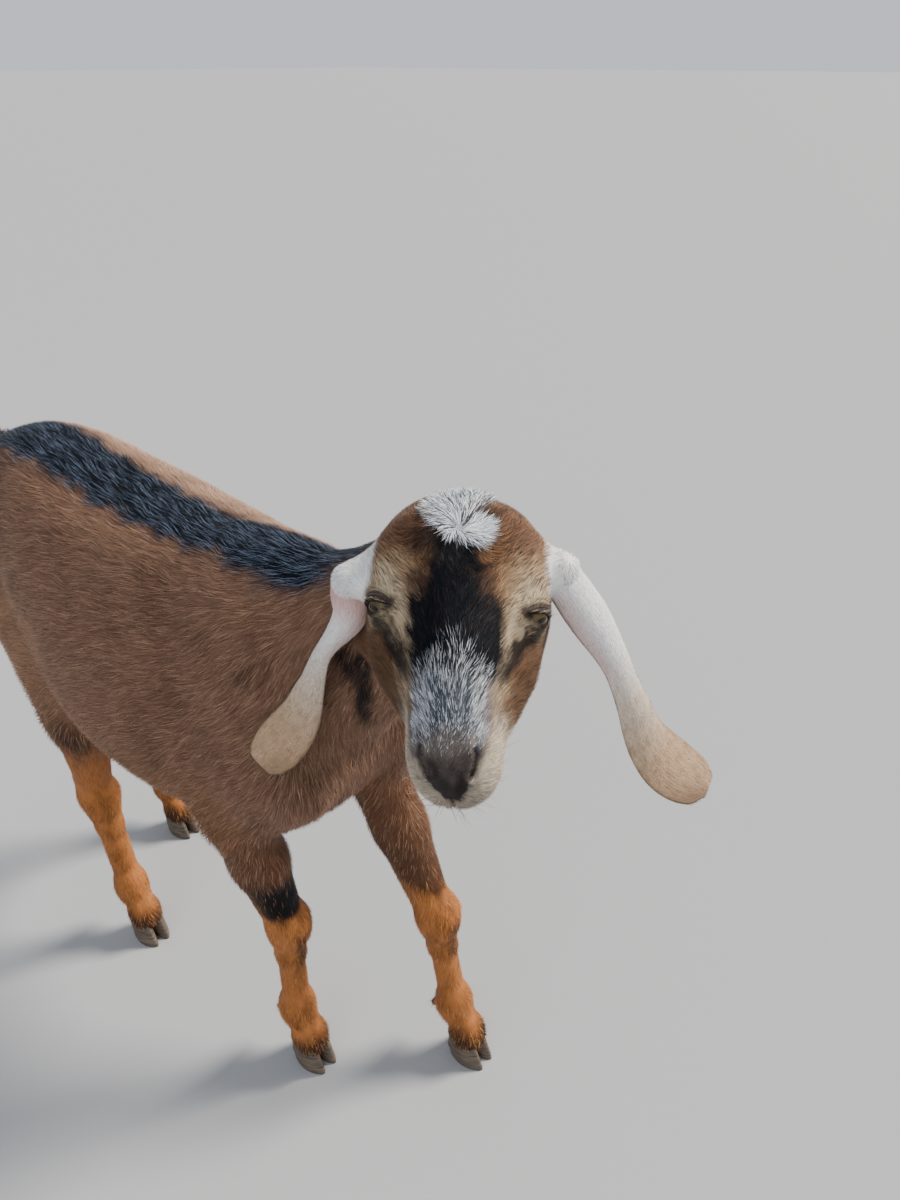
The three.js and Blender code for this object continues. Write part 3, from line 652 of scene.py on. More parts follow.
def sculpted(p):
    out = p.copy()
    s, y, z = in_head(p)
    facial = (s > 40) & (s < 175) & (np.abs(y) < 75) & (np.abs(z) < 80)
    q = p[facial]
    normal = unit_rows(gradient(goat_field, q))
    nostril, mouth, philtrum = face_lines(q)
    lift = wing_height * bell(nostril - wing_off, wing_half) - nostril_depth * bell(nostril, nostril_half)
    lift -= mouth_depth * bell(mouth, mouth_half) + philtrum_depth * bell(philtrum, philtrum_half)
    for turn in (1, -1):
        a, b, c = in_eye(q, turn)
        near_eye = (c > 2) * (1 - smooth(9, 14, np.abs(a)))
        for crease_lift in crease_lifts:
            over = over_crease(a, b, crease_lift)
            lift += near_eye * (fold_height * bell(over + fold_over_crease, fold_half)
                                - crease_depth * bell(over, crease_half))
        under = b + (lower_lid + bag_drop) * (1 - (a / bag_long) ** 2)
        lift -= near_eye * bag_depth * bell(under, bag_half)
    q = q + normal * lift[:, None]
    for turn in (1, -1):
        centre, axis_out, axis_long, axis_up = eye_axes(turn)
        a, b, c = in_eye(q, turn)
        over = beyond_lid(a, b)
        socket = (c > 3) & (np.abs(a) < lid_long + 1) & (over < lid_snap)
        rim = socket & (over > -lid_snap)
        arch = np.maximum(1 - (a / lid_long) ** 2, 0)
        b = np.where(rim, np.where(b > 0, upper_lid, -lower_lid) * arch, b)
        reach = np.where(rim, eyeball_radius + lid_rise, eyeball_radius - 1.5)
        ahead = np.sqrt(np.maximum(reach ** 2 - a ** 2 - b ** 2, 1))
        placed = (centre + a[:, None] * axis_long + b[:, None] * axis_up
                  + ahead[:, None] * axis_out)
        q = np.where(socket[:, None], placed, q)
    out[facial] = q
    return out


flat_points = points
points = sculpted(points)
body_count = len(points)
body_face_count = len(faces)


# The ears are two thin leaves of the same hide, folded into a gutter at the root
def spline(knots, samples):
    knots = np.array(knots, float)
    start = 2 * knots[0] - knots[1]
    end = 2 * knots[-1] - knots[-2]
    p = np.vstack([start, knots, end])
    dense = []
    for i in range(len(knots) - 1):
        a, b, c, d = p[i:i + 4]
        t1 = max(np.linalg.norm(b - a), 1e-6) ** 0.5
        t2 = t1 + np.linalg.norm(c - b) ** 0.5
        t3 = t2 + np.linalg.norm(d - c) ** 0.5
        t = np.linspace(t1, t2, 24, endpoint=i == len(knots) - 2)[:, None]
        ab = (t1 - t) / t1 * a + t / t1 * b
        bc = (t2 - t) / (t2 - t1) * b + (t - t1) / (t2 - t1) * c
        cd = (t3 - t) / (t3 - t2) * c + (t - t2) / (t3 - t2) * d
        abc = (t2 - t) / t2 * ab + t / t2 * bc
        bcd = (t3 - t) / (t3 - t1) * bc + (t - t1) / (t3 - t1) * cd
        dense.append((t2 - t) / (t2 - t1) * abc + (t - t1) / (t2 - t1) * bcd)
    dense = np.vstack(dense)
    run = np.concatenate([[0], np.cumsum(np.linalg.norm(np.diff(dense, axis=0), axis=1))])
    at = np.linspace(0, run[-1], samples)
    curve = np.stack([np.interp(at, run, dense[:, k]) for k in range(3)], 1)
    return curve, unit_rows(np.gradient(curve, axis=0))


ear_thick = 3.4
ear_hair = 0.7
ear_halves = {
    "left": profile([(0, 9), (0.14, 13), (0.3, 15.5), (0.5, 11.5), (0.7, 14.5), (0.86, 19.5),
                     (0.96, 16.5), (1, 8)]),
    "right": profile([(0, 9), (0.14, 12), (0.28, 13.5), (0.45, 7), (0.58, 8), (0.7, 12), (0.86, 17),
                      (0.96, 15), (1, 9)])}
ear_fold = profile([(0, 2.1), (0.15, 1.7), (0.4, 1.25), (0.7, 0.75), (0.9, 0.35), (1, 0.2)])
ear_paths = {
    "left": [*ear_stub["left"], (322, 51, 508), (336, 62, 476), (347, 71, 441), (358, 80, 407),
             (373, 94, 383), (389, 105, 373)],
    "right": [*ear_stub["right"], (213, -37, 497), (201, -47, 471), (193, -51, 446),
              (185, -56, 422), (176, -65, 403), (168, -76, 388)]}
ear_facings = {
    "left": ((0.75, 0.1, 0.5), (0.45, -0.55, 0.75)),
    "right": ((0.25, -0.8, 0.5), (0.45, -0.6, 0.65))}


def ear_sheet(name, stations, arc):
    side = 1 if name == "left" else -1
    curve, axis = spline(ear_paths[name], stations)
    t = np.linspace(0, 1, stations)[:, None]
    root_facing, tip_facing = (np.array(f, float) for f in ear_facings[name])
    facing = unit_rows(root_facing + (tip_facing - root_facing) * t)
    out = unit_rows(facing - axis * (facing * axis).sum(1)[:, None])
    wide = np.cross(axis, out) * side
    half = ear_halves[name](t)
    bend = ear_fold(t)
    r = half / np.sin(np.minimum(bend, np.pi / 2))

    def row(u, inset):
        a = u * bend
        across_part = (r - inset) * np.sin(a)
        out_part = (r - inset) * np.cos(a) - r * np.cos(bend * 0.5)
        return (curve[:, None] + wide[:, None] * across_part[..., None]
                + out[:, None] * out_part[..., None])
    u = np.linspace(-1, 1, arc)
    outer = row(u[None], ear_hair)
    inner = row(u[None, ::-1] * 0.97, (ear_thick - ear_hair) * (1 - 0.45 * u[None] ** 2))
    ring = np.concatenate([outer, inner], 1)
    return ring if side > 0 else ring[:, ::-1]


def closed_tube(rings):
    n, m = rings.shape[:2]
    j = np.arange(m)
    k = (j + 1) % m
    quads = [(i * m + a, i * m + b, (i + 1) * m + b, (i + 1) * m + a)
             for i in range(n - 1) for a, b in zip(j.tolist(), k.tolist())]
    ends = [tuple(range(m - 1, -1, -1)), tuple(range((n - 1) * m, n * m))]
    return rings.reshape(-1, 3), quads + ends


ear_stations = 72
ear_arc = 21
rim_stations = 56
rim_sides = 8
rim_radius = 0.55
vertex_region = [np.zeros(body_count, int)]
sheet_places = []
extra_lies = []


def add_rings(rings, region, closed_ends=True):
    global points, faces
    stations, sides = rings.shape[:2]
    tube_points, tube_faces = closed_tube(rings)
    if not closed_ends:
        last = (stations - 1) * sides
        tube_faces = tube_faces[:-2] + [(last + k, last + (k + 1) % sides, (k + 1) % sides, k)
                                        for k in range(sides)]
    offset = len(points)
    points = np.vstack([points, tube_points])
    faces = faces + [tuple(offset + i for i in f) for f in tube_faces]
    grid = np.stack(np.meshgrid(np.arange(stations) / stations, np.arange(sides) / sides,
                                indexing="ij"), -1).reshape(-1, 2)
    sheet_places.append(grid)
    ahead = np.gradient(rings.mean(1), axis=0)
    extra_lies.append(np.repeat(ahead, sides, axis=0))
    vertex_region.append(np.full(stations * sides, region))


def lid_rim(turn):
    centre, out, long, up = eye_axes(turn)
    w = 2 * np.pi * np.arange(rim_stations) / rim_stations
    a = lid_long * np.cos(w)
    b = np.where(np.sin(w) > 0, upper_lid, -lower_lid) * (1 - (a / lid_long) ** 2)
    ahead = np.sqrt((eyeball_radius + lid_rise - 0.1) ** 2 - a * a - b * b)
    outward = a[:, None] * long + b[:, None] * up + ahead[:, None] * out
    middle = centre + outward
    outward = unit_rows(outward)
    step = np.roll(middle, -1, 0) - np.roll(middle, 1, 0)
    sideways = unit_rows(np.cross(outward, step) * turn)
    turns = 2 * np.pi * np.arange(rim_sides) / rim_sides
    return (middle[:, None] + rim_radius * (np.cos(turns)[None, :, None] * sideways[:, None]
                                            + 0.8 * np.sin(turns)[None, :, None] * outward[:, None]))


regions = ["torso", "neck", "head", "tail", *limbs, "ear_left", "ear_right", "lid_left", "lid_right"]
for name in ear_paths:
    add_rings(ear_sheet(name, ear_stations, ear_arc), regions.index("ear_" + name))
for name, turn in (("left", 1), ("right", -1)):
    add_rings(lid_rim(turn), regions.index("lid_" + name), closed_ends=False)
vertex_region = np.concatenate(vertex_region)
sheet_places = np.concatenate(sheet_places)
flat_points = np.vstack([flat_points, points[body_count:]])

skin_mesh.clear_geometry()
skin_mesh.from_pydata(metres(points), [], faces)
skin_mesh.update()
skin_mesh.polygons.foreach_set("use_smooth", [True] * len(skin_mesh.polygons))
skin = in_scene("goat_skin", skin_mesh)


# Each part of the body is unrolled round its own axis, which gives the skin and the coat one map
head_face_tilt = 0.7
head_face = (from_head(0, 0, -12), head_turn(math.cos(head_face_tilt), 0, math.sin(head_face_tilt)))
neck_base = ((147, 0, 441), (0.83, 0, 0.55))
neck_start = np.array(neck_path[0][0], float)
neck_way = unit(np.array(neck_path[-1][0]) - neck_start)
neck_across = unit(neck_side - neck_way * (neck_side @ neck_way))
neck_crest = np.cross(neck_way, neck_across)
tail_start = np.array(dock[1], float)
tail_way = unit(np.array(dock[3]) - tail_start)
tail_back = np.array([tail_way[2], 0, -tail_way[0]])


def past(p, point, normal):
    return (p - np.array(point, float)) @ np.array(normal, float)


def region_of(p):
    region = np.zeros(len(p), int)
    off_middle = np.abs(in_head(p)[1])
    region[past(p, *neck_base) > 0] = regions.index("neck")
    for name, limb in limbs.items():
        side = limb["side"]
        if limb["front"]:
            top = (160, 0, float(belly_line(90)) - 9)
            tests = [(top, (0, 0.67 * side, -0.745)), ((70, 0, 300), (0.8, 0, -0.6))]
        else:
            top = (-150, 0, float(belly_line(-150)) - 12)
            tests = [(top, (-0.45, 0.6 * side, -0.66)), ((-58, 0, 300), (-0.8, 0, -0.6))]
        inside = (p[:, 1] * side > 0) & (p[:, 2] < 330)
        for point, normal in tests:
            inside &= past(p, point, normal) > 0
        region[inside] = regions.index(name)
    region[(past(p, *head_face) > 0) & (off_middle < 66) & (p[:, 2] > 380)] = regions.index("head")
    region[(past(p, tail_start, tail_way) > 0) & (p[:, 0] < -240)] = regions.index("tail")
    return region


def leg_axis(limb, z):
    chain = ["shoulder", "elbow", "knee"] if limb["front"] else ["hip", "stifle", "hock"]
    spots = np.array([limb[k] for k in chain + ["fetlock", "coronet"]], float)[::-1]
    return [np.interp(z, spots[:, 2], spots[:, k]) for k in (0, 1)]


def unrolled(p, region):
    """The way along a part's axis, the turn round it, and the part's length and girth in mm."""
    name = regions[region]
    x, y, z = p.T
    if name == "torso":
        middle = (back_line(x) + belly_line(x)) / 2
        reach = np.hypot(y, z - middle) / ((back_line(x) - belly_line(x)) / 2)
        tip = 60 * (1 - np.clip(reach, 0, 1)) * (smooth(-215, -250, x) * -1 + smooth(150, 185, x))
        return x + tip + 330, np.arctan2(y, z - middle), 580, 620
    if name == "neck":
        q = p - neck_start
        return q @ neck_way + 40, np.arctan2(q @ neck_across, q @ neck_crest), 240, 330
    if name == "head":
        s, across_y, lift = in_head(p)
        reach = np.hypot(across_y, lift + 9) / 24
        tip = 28 * (1 - np.clip(reach, 0, 1)) * smooth(135, 156, s)
        return s + tip + 30, np.arctan2(across_y, lift + 5), 225, 290
    if name == "tail":
        q = p - tail_start
        return q @ tail_way, np.arctan2(q[:, 1], q @ tail_back), 75, 95
    limb = limbs[name]
    ax, ay = leg_axis(limb, z)
    return z, np.arctan2(x - ax, (y - ay) * limb["side"]), 330, 130


polygon_count = len(skin_mesh.polygons)
centres = read_back(skin_mesh.polygons, "center", 3, np.float32)
polygon_start = read_back(skin_mesh.polygons, "loop_start", 1, np.int32)
loop_count = len(skin_mesh.loops)
loop_vertex = read_back(skin_mesh.loops, "vertex_index", 1, np.int32)
loop_polygon = np.zeros(loop_count, np.int32)
loop_polygon[polygon_start] = 1
loop_polygon = np.cumsum(loop_polygon) - 1
polygon_region = vertex_region[loop_vertex[polygon_start]]
body_centres = centres[:body_face_count] / mm - to_cad
polygon_region[:body_face_count] = region_of(body_centres)
place = np.zeros((loop_count, 2))
part_size = np.ones((len(regions), 2))
loop_region = polygon_region[loop_polygon]
for k, name in enumerate(regions):
    here = loop_region == k
    if name.startswith(("ear", "lid")):
        place[here] = sheet_places[loop_vertex[here] - body_count]
        part_size[k] = (175, 80) if name.startswith("ear") else (40, 5)
        wraps = (0, 1) if name.startswith("lid") else (1,)
    else:
        run, angle, length, girth = unrolled(flat_points[loop_vertex[here]], k)
        place[here, 0] = run / length
        place[here, 1] = angle / (2 * np.pi) + 0.5
        part_size[k] = (length, girth)
        wraps = (1,)
    for axis in wraps:
        low_end = np.ones(polygon_count)
        high_end = np.zeros(polygon_count)
        np.minimum.at(low_end, loop_polygon[here], place[here, axis])
        np.maximum.at(high_end, loop_polygon[here], place[here, axis])
        split = (high_end - low_end > 0.5)[loop_polygon] & here & (place[:, axis] < 0.5)
        place[split, axis] += 1

# The skin's own map sets the parts side by side: corner, width and height of each
tiles = {"torso": (0, 0, 0.5, 0.5), "head": (0.5, 0, 0.5, 0.5), "neck": (0, 0.5, 0.25, 0.38),
         "tail": (0, 0.9, 0.3, 0.1), "lid_left": (0.4, 0.9, 0.2, 0.08),
         "lid_right": (0.7, 0.9, 0.2, 0.08), "ear_left": (0.75, 0.5, 0.12, 0.38),
         "ear_right": (0.88, 0.5, 0.12, 0.38)}
for k, name in enumerate(limbs):
    tiles[name] = (0.25 + 0.125 * k, 0.5, 0.125, 0.38)
map_margin = 0.02
map_share = 0.84


def in_tile(where, tile):
    corner = np.array(tile[:2])
    size = np.array(tile[2:])
    return corner + size * (map_margin + map_share * where)


skin_map = np.zeros((loop_count, 2))
for k, name in enumerate(regions):
    here = loop_region == k
    skin_map[here] = in_tile(place[here], tiles[name])
comb = place * part_size[loop_region]
for map_name, values in (("OFBake", skin_map), ("comb", comb)):
    layer = skin_mesh.uv_layers.new(name=map_name)
    layer.data.foreach_set("uv", values.astype(np.float32).ravel())


# Markings: a base colour, the colour of the odd hairs among it and their share, at each place
def srgb(red, green, blue):
    c = np.array([red, green, blue]) / 255
    return np.where(c < 0.04045, c / 12.92, ((c + 0.055) / 1.055) ** 2.4)


chestnut = srgb(122, 91, 73)
chestnut_dark = srgb(74, 46, 34)
chestnut_pale = srgb(152, 120, 98)
blue_black = srgb(4, 9, 17)
silver = srgb(214, 219, 226)
slate = srgb(84, 96, 116)
orange_tan = srgb(176, 110, 60)
cream = srgb(206, 186, 156)
umber = srgb(50, 36, 30)
pad_grey = srgb(92, 82, 78)
pad_dark = srgb(50, 44, 43)
lip_grey = srgb(190, 177, 158)
ear_white = srgb(244, 242, 241)
ear_tan = srgb(196, 172, 146)
ear_brown = srgb(120, 98, 80)
ear_pink = srgb(214, 160, 152)
dew_horn = srgb(70, 62, 54)
rump_brown = srgb(60, 47, 42)
flank_tan = srgb(150, 112, 84)
belly_tan = srgb(132, 92, 60)
# Paler buff painted on the top of the back as painted sun sheen
sunlit_back_sheen = srgb(178, 146, 124)
low_tan = srgb(116, 77, 50)
leg_gold = srgb(196, 134, 80)
face_brown = srgb(116, 86, 62)
brow_tan = srgb(134, 96, 66)
brow_brown = srgb(92, 60, 42)
brow_pale = srgb(204, 180, 146)
cheek_brown = srgb(90, 66, 47)
jaw_brown = srgb(112, 82, 62)
bridge_slate = srgb(54, 60, 72)
lip_brown = srgb(128, 112, 98)
chin_grey = srgb(150, 136, 122)
pad_pale = srgb(112, 102, 96)
poll_grey = srgb(62, 64, 72)
# Grey of the upper lids: partly their own skin, partly painted shade under the brow
lid_grey_and_brow_shade = srgb(74, 64, 66)
# Dark bare skin, also laid in slits, grooves and creases as painted shade
bare_skin_and_slit_shade = srgb(34, 27, 27)
ear_cream = srgb(234, 220, 204)
ear_sand = srgb(200, 168, 134)
ear_tip = srgb(150, 122, 98)
ear_edge = srgb(196, 150, 138)
ear_freckle = srgb(150, 118, 92)
ear_hairs = srgb(122, 96, 78)
lid_edge = srgb(44, 33, 30)

wave_axes = [unit((math.cos(2.4 * k), math.sin(2.4 * k), 0.8 - 0.4 * k)) for k in range(5)]


def ripple(p, size, phase=0.0):
    total = np.zeros(len(p))
    for k, axis in enumerate(wave_axes):
        total += np.sin(p @ axis * (2 * np.pi / size) * (0.7 + 0.25 * k) + phase + 1.7 * k)
    return total / 1.6


def falling(low_end, high_end, x):
    return 1 - smooth(low_end, high_end, x)


def lay(under, over, mask):
    mask = np.clip(mask, 0, 1)
    return under + (over - under) * (mask[:, None] if under.ndim > 1 else mask)


def painted(base, *marks):
    """Each mark is a value and the share of it at every place; later marks cover earlier ones."""
    for over, mask in marks:
        base = lay(base, over, mask)
    return base


def body_markings(p):
    p = p + 2.2 * np.stack([ripple(p, 23, k) for k in range(3)], 1)
    x, y, z = p.T
    share = np.full(len(p), 0.2)
    rump = falling(-190, -120, x) * smooth(400, 440, z) * falling(-20, 0, y)
    low_rear = falling(-90, -30, x) * smooth(300, 340, z) * falling(385, 430, z)
    belly = falling(300, 360, z) * falling(110, 150, x) * smooth(240, 270, z)
    # Painted sheen: the top of the back on the goat's left, beyond the stripe, is painted paler for the
    # sun's sheen along it
    sun_sheen_on_far_back = smooth(8, 36, y) * smooth(452, 486, z) * falling(90, 150, x)
    clouds = 0.35 * bell(ripple(p, 90), 0.7) * smooth(-0.2, 0.6, ripple(p, 60, 2))
    spot = falling(3, 12, np.sqrt((x - 142) ** 2 + (z - 442) ** 2)) * falling(-50, -30, y)
    base = painted(
        np.tile(chestnut, (len(p), 1)), (rump_brown, 0.8 * rump), (flank_tan, 0.75 * low_rear),
        (belly_tan, 0.55 * belly), (sunlit_back_sheen, 0.8 * sun_sheen_on_far_back), (chestnut_dark, clouds),
        (low_tan, 0.7 * falling(275, 330, z) * smooth(-200, -80, x)), (umber, 0.75 * spot))
    for limb in limbs.values():
        out = y * limb["side"]
        if limb["front"]:
            knee = limb["knee"]
            near_leg = (out > 0) & (np.abs(x - knee[0]) < 75)
            front = smooth(-8, 6, x - np.interp(z, (162, 320), (knee[0], knee[0] + 6)))
            band = smooth(184, 194, z + 0.5 * (x - knee[0])) * falling(222, 244, z)
            dark = near_leg * band * (0.5 + 0.5 * front)
            stripe = front * bell(y - np.interp(z, (58, 162), (limb["fetlock"][1], knee[1])), 7)
            shin = stripe * falling(160, 176, z) * smooth(110, 140, z)
            base = painted(
                base, (orange_tan, near_leg * falling(182, 204, z)),
                (chestnut_dark, near_leg * 0.45 * smooth(222, 240, z) * falling(262, 300, z)),
                (blue_black, dark), (blue_black, near_leg * 0.85 * shin))
            share = lay(share, 0.03, dark)
        else:
            hock = limb["hock"]
            near_leg = (out > 0) & (np.abs(x - hock[0]) < 110) & (x < -55)
            patch = np.sqrt(((x + 98) / 13) ** 2 + ((z - 273) / 22) ** 2)
            base = painted(
                base, (orange_tan, near_leg * falling(222, 268, z + 0.07 * (x - hock[0]))),
                (umber, near_leg * 0.8 * falling(0.5, 1.3, patch) * smooth(60, 72, out)))
        base = lay(base, umber, near_leg * (z < 60) * falling(34, 46, z))
        dew = moved(limb["fetlock"], (-21, 0, -9))
        for turn in (1, -1):
            to_dew = np.linalg.norm(p - moved(dew, (0, dew_spread * turn, 0)), axis=1)
            base = lay(base, dew_horn, near_leg * falling(4, 8, to_dew))
    low = falling(180, 230, z)
    base = lay(base, base * 0.62, smooth(-0.3, 1.2, ripple(p, 26, 3)) * low)
    # The stripe runs from the tail along the spine and up the crest of the neck
    left_edge = np.interp(x, (-260, -150, 60, 150, 190), (14, 21, 18, 20, 26))
    right_edge = np.interp(x, (-260, -150, 0, 115, 154, 182), (-24, -36, -33, -30, -25, -16))
    on_top = smooth(-34, -18, z - back_line(x)) * falling(165, 200, x)
    stripe = falling(left_edge - 6, left_edge + 5, y) * smooth(right_edge - 6, right_edge + 6, y) * on_top
    q = p - neck_start
    round_crest = np.hypot(q @ neck_across, np.minimum(q @ neck_crest - 30, 0))
    crest = falling(16, 27, round_crest) * smooth(30, 70, q @ neck_way) * smooth(20, 40, q @ neck_crest)
    stripe = np.maximum(stripe, crest)
    streak_path = np.array([(199, -28, 472), (207, -28, 464), (211, -25, 446), (210, -17, 412)], float)
    streak = falling(3, 12, to_path(p, streak_path))
    tail = falling(-262, -250, x) * smooth(0.2, 0.8, (p - tail_start) @ -tail_back / 12 + 0.5)
    base = painted(base, (blue_black, stripe), (blue_black, 0.95 * streak), (blue_black, 0.8 * tail))
    odd = painted(np.tile(chestnut_pale, (len(p), 1)), (leg_gold, low), (slate, stripe), (umber, streak))
    return base, odd, lay(share, 0.3, stripe * (0.5 + 0.5 * smooth(0, 150, x)))


whorl = np.array([27.5, -2.8])
stripe_middle = profile([(20, -4), (50, -3.5), (65, -3), (80, -0.5), (130, 0)])
stripe_half = profile([(18, 7), (28, 8), (41, 9.5), (62, 10.5), (74, 21), (88, 23.5), (102, 20.5),
                       (116, 16), (127, 8)])
flank_half = profile([(38, 11), (54, 18), (72, 24), (96, 23)])
cream_middle = profile([(60, 32), (74, 28), (88, 25), (100, 23), (110, 21.5), (120, 20)])
pad_half = profile([(134, 3), (138, 9), (143, 13.5), (149, 13), (154, 9.5), (160, 5)])
pad_low_half = profile([(-8, 2), (-5, 6), (-1, 10), (3, 13.5), (6, 30)])
white_reach = profile([(-180, 4), (-150, 7), (-110, 8), (-82, 10), (-62, 18), (0, 34), (34, 30),
                       (46, 3), (66, 3), (78, 13), (105, 16), (140, 14), (156, 7), (180, 4)])
white_mix = profile([(-180, 0.5), (-150, 0.42), (-95, 0.3), (-72, 0.62), (0, 0.52), (30, 0.44), (66, 0.5),
                     (105, 0.9), (135, 0.85), (180, 0.5)])
under_eye = np.array([(70, 44, 16), (76, 40, 17), (82, 35, 15), (94, 30, 14), (106, 25, 15)], float)


def head_markings(p):
    shifted = p + 1.3 * np.stack([ripple(p, 11, k) for k in range(3)], 1)
    s, y, z = on_face(shifted)
    side = np.abs(y)
    turn = np.degrees(np.arctan2(side, z + 5))
    brow = falling(62, 78, s) * falling(62, 84, turn)
    brown_brow = np.exp(-((s - 31) / 17) ** 2 - ((side - 29) / 11) ** 2)
    tan_brow = np.exp(-((s - 59) / 14) ** 2 - ((side - 35) / 11) ** 2) * falling(75, 95, turn)
    cheek = smooth(56, 80, turn) * smooth(58, 76, s)
    ring = falling(13, 20, np.sqrt((s - 66) ** 2 + (side - 44) ** 2 + (z - 24) ** 2))
    off_stripe = np.abs(y - stripe_middle(s))
    flank = falling(flank_half(s) - 5, flank_half(s) + 3, off_stripe)
    flank *= smooth(24, 52, s) * falling(98, 108, s) * falling(60, 75, turn)
    cream_line = bell(side - cream_middle(s), 4.2) * smooth(60, 70, s) * falling(112, 124, s)
    cream_line *= falling(78, 96, turn)
    tear = falling(3.6, 8.0, to_path(np.stack([s, side, z], 1), under_eye)) * falling(104, 116, s)
    core = falling(stripe_half(s) - 1.5, stripe_half(s) + 2.5, off_stripe)
    core *= smooth(20, 30, s) * falling(112, 126, s) * falling(70, 84, turn)
    # White hairs come in over the bridge of the nose and fan out toward the muzzle
    fan = smooth(-3, 5, np.clip((s - 88) * 0.95, 0, 18.5) - side) * smooth(89, 98, s)
    bridge = painted(
        np.tile(blue_black, (len(p), 1)), (bridge_slate, smooth(104, 130, s)),
        (pad_grey, smooth(134, 148, s) * falling(12, 20, side)))
    fan_share = 0.07 + 0.25 * smooth(94, 118, s) - 0.12 * smooth(112, 132, s) * falling(5, 12, side)
    fan_share = (fan_share + 0.36 * smooth(7, 16, side) * smooth(104, 122, s)) * falling(134, 148, s)
    lips = smooth(112, 128, s) * np.maximum(smooth(46, 64, turn), smooth(148, 156, s) * falling(-8, -2, z))
    chin = smooth(120, 140, turn) * smooth(95, 120, s)
    pad_edge = np.minimum(pad_half(s), pad_low_half(z))
    pad = falling(pad_edge - 2, pad_edge + 1.5, side) * smooth(137, 143, s) * smooth(-10, -7, z)
    # The hair round the whorl on the poll: white, with a dark patch to each side
    from_whorl = np.hypot(s - whorl[0], y - whorl[1])
    bearing = np.degrees(np.arctan2(y - whorl[1], whorl[0] - s))
    white = falling(white_reach(bearing) - 2, white_reach(bearing) + 3, from_whorl)
    dark_side = falling(22, 30, from_whorl) * (bell(bearing - 56, 20) + bell(bearing + 115, 34))
    upper = falling(70, 90, turn) * falling(46, 54, s)
    mixed = np.maximum(white_mix(bearing), 0.8 * falling(3, 11, from_whorl))
    back = falling(-2, 14, s) * smooth(12, 22, side) * (1 - white)
    base = painted(
        np.tile(face_brown, (len(p), 1)), (brow_tan, brow), (brow_brown, 0.75 * brown_brow),
        (brow_pale, 0.9 * tan_brow), (cheek_brown, 0.75 * cheek), (jaw_brown, 0.7 * smooth(100, 140, turn)),
        (cream, 0.75 * ring), (umber, 0.9 * flank), (cream, 0.8 * cream_line), (blue_black, 0.9 * tear),
        (blue_black, core), (bridge, fan * smooth(98, 114, s)), (lip_grey, 0.92 * lips),
        (chin_grey, 0.6 * chin), (pad_pale, pad * falling(144, 158, s + 0.4 * side)),
        (pad_dark, pad * smooth(147, 159, s + 0.2 * side)), (blue_black, 0.85 * dark_side * upper),
        (poll_grey, white * upper), (umber, 0.55 * back))
    odd = painted(
        np.tile(umber, (len(p), 1)), (silver, fan), (lip_brown, lips), (silver, white * upper))
    share = painted(
        np.full(len(p), 0.22), (0.4, brow), (0.24, tan_brow), (0.12, flank), (0.1, tear), (0.12, core),
        (fan_share, fan), (0.25, lips), (0.12 * falling(142, 150, s), pad), (mixed, white * upper))
    # Dark paint edges the lids on their bare skin. It also lies in the nostrils, the mouth line and the
    # philtrum, partly as bare skin and partly as painted shade in these slits. The lid creases get it as
    # painted shade only
    s = in_head(p)[0]
    nostril, mouth, philtrum = face_lines(p)
    bare = np.maximum(falling(1.4, 2.5, nostril), 0.8 * falling(0.8, 2.0, mouth) * smooth(130, 145, s))
    bare = np.maximum(bare, falling(0.6, 1.6, philtrum))
    for way in (1, -1):
        a, b, c = in_eye(p, way)
        over = beyond_lid(a, b)
        bare = np.maximum(bare, falling(0.6, 2.2, over) * (c > 2))
        # The lid creases are painted dark: painted shade in the folds
        for crease_lift in crease_lifts:
            fold = np.abs(over_crease(a, b, crease_lift))
            bare = np.maximum(bare, 0.8 * falling(0.3, 1.3, fold) * falling(8, 12, np.abs(a)) * (c > 2))
        # The upper lid is painted grey: partly the lid's own grey skin, partly painted shade under the brow
        lid = falling(3, 6.5, over) * (b > 0) * (c > 2)
        corner = falling(2, 7, np.hypot(a - lid_long - 1, b + 1)) * (c > 2)
        base = painted(base, (lid_grey_and_brow_shade, 0.8 * lid), (umber, 0.8 * corner))
        share = lay(share, 0.1, lid)
    return lay(base, bare_skin_and_slit_shade, bare), odd, share * (1 - bare)


def ear_markings(t, u, inner):
    rim = smooth(0.82, 1.0, np.abs(u))
    tip = smooth(0.84, 0.95, t) * smooth(-0.1, 0.5, u * 0.7 + t - 0.9)
    pink = inner * falling(0.24, 0.4, t) * smooth(0.02, 0.1, t) * (1 - rim)
    face_edge = smooth(0.2, 0.8, u) * smooth(0.12, 0.22, t) * falling(0.4, 0.6, t)
    freckle = ripple(np.stack([180 * t, 17 * u, np.zeros(len(t))], 1), 7)
    base = painted(
        np.tile(ear_white, (len(t), 1)), (ear_cream, smooth(0.35, 0.6, t)),
        (ear_sand, smooth(0.5, 0.85, t)), (ear_tip, 0.7 * tip), (ear_pink, 0.85 * pink),
        (ear_edge, 0.6 * face_edge), (ear_brown, 0.5 * rim * smooth(0.4, 0.6, t)),
        (ear_freckle, 0.4 * smooth(0.1, 1.1, freckle) * smooth(0.4, 0.75, t)))
    share = 0.05 + 0.25 * smooth(0.35, 0.7, t)
    return base, np.tile(ear_hairs, (len(t), 1)), share


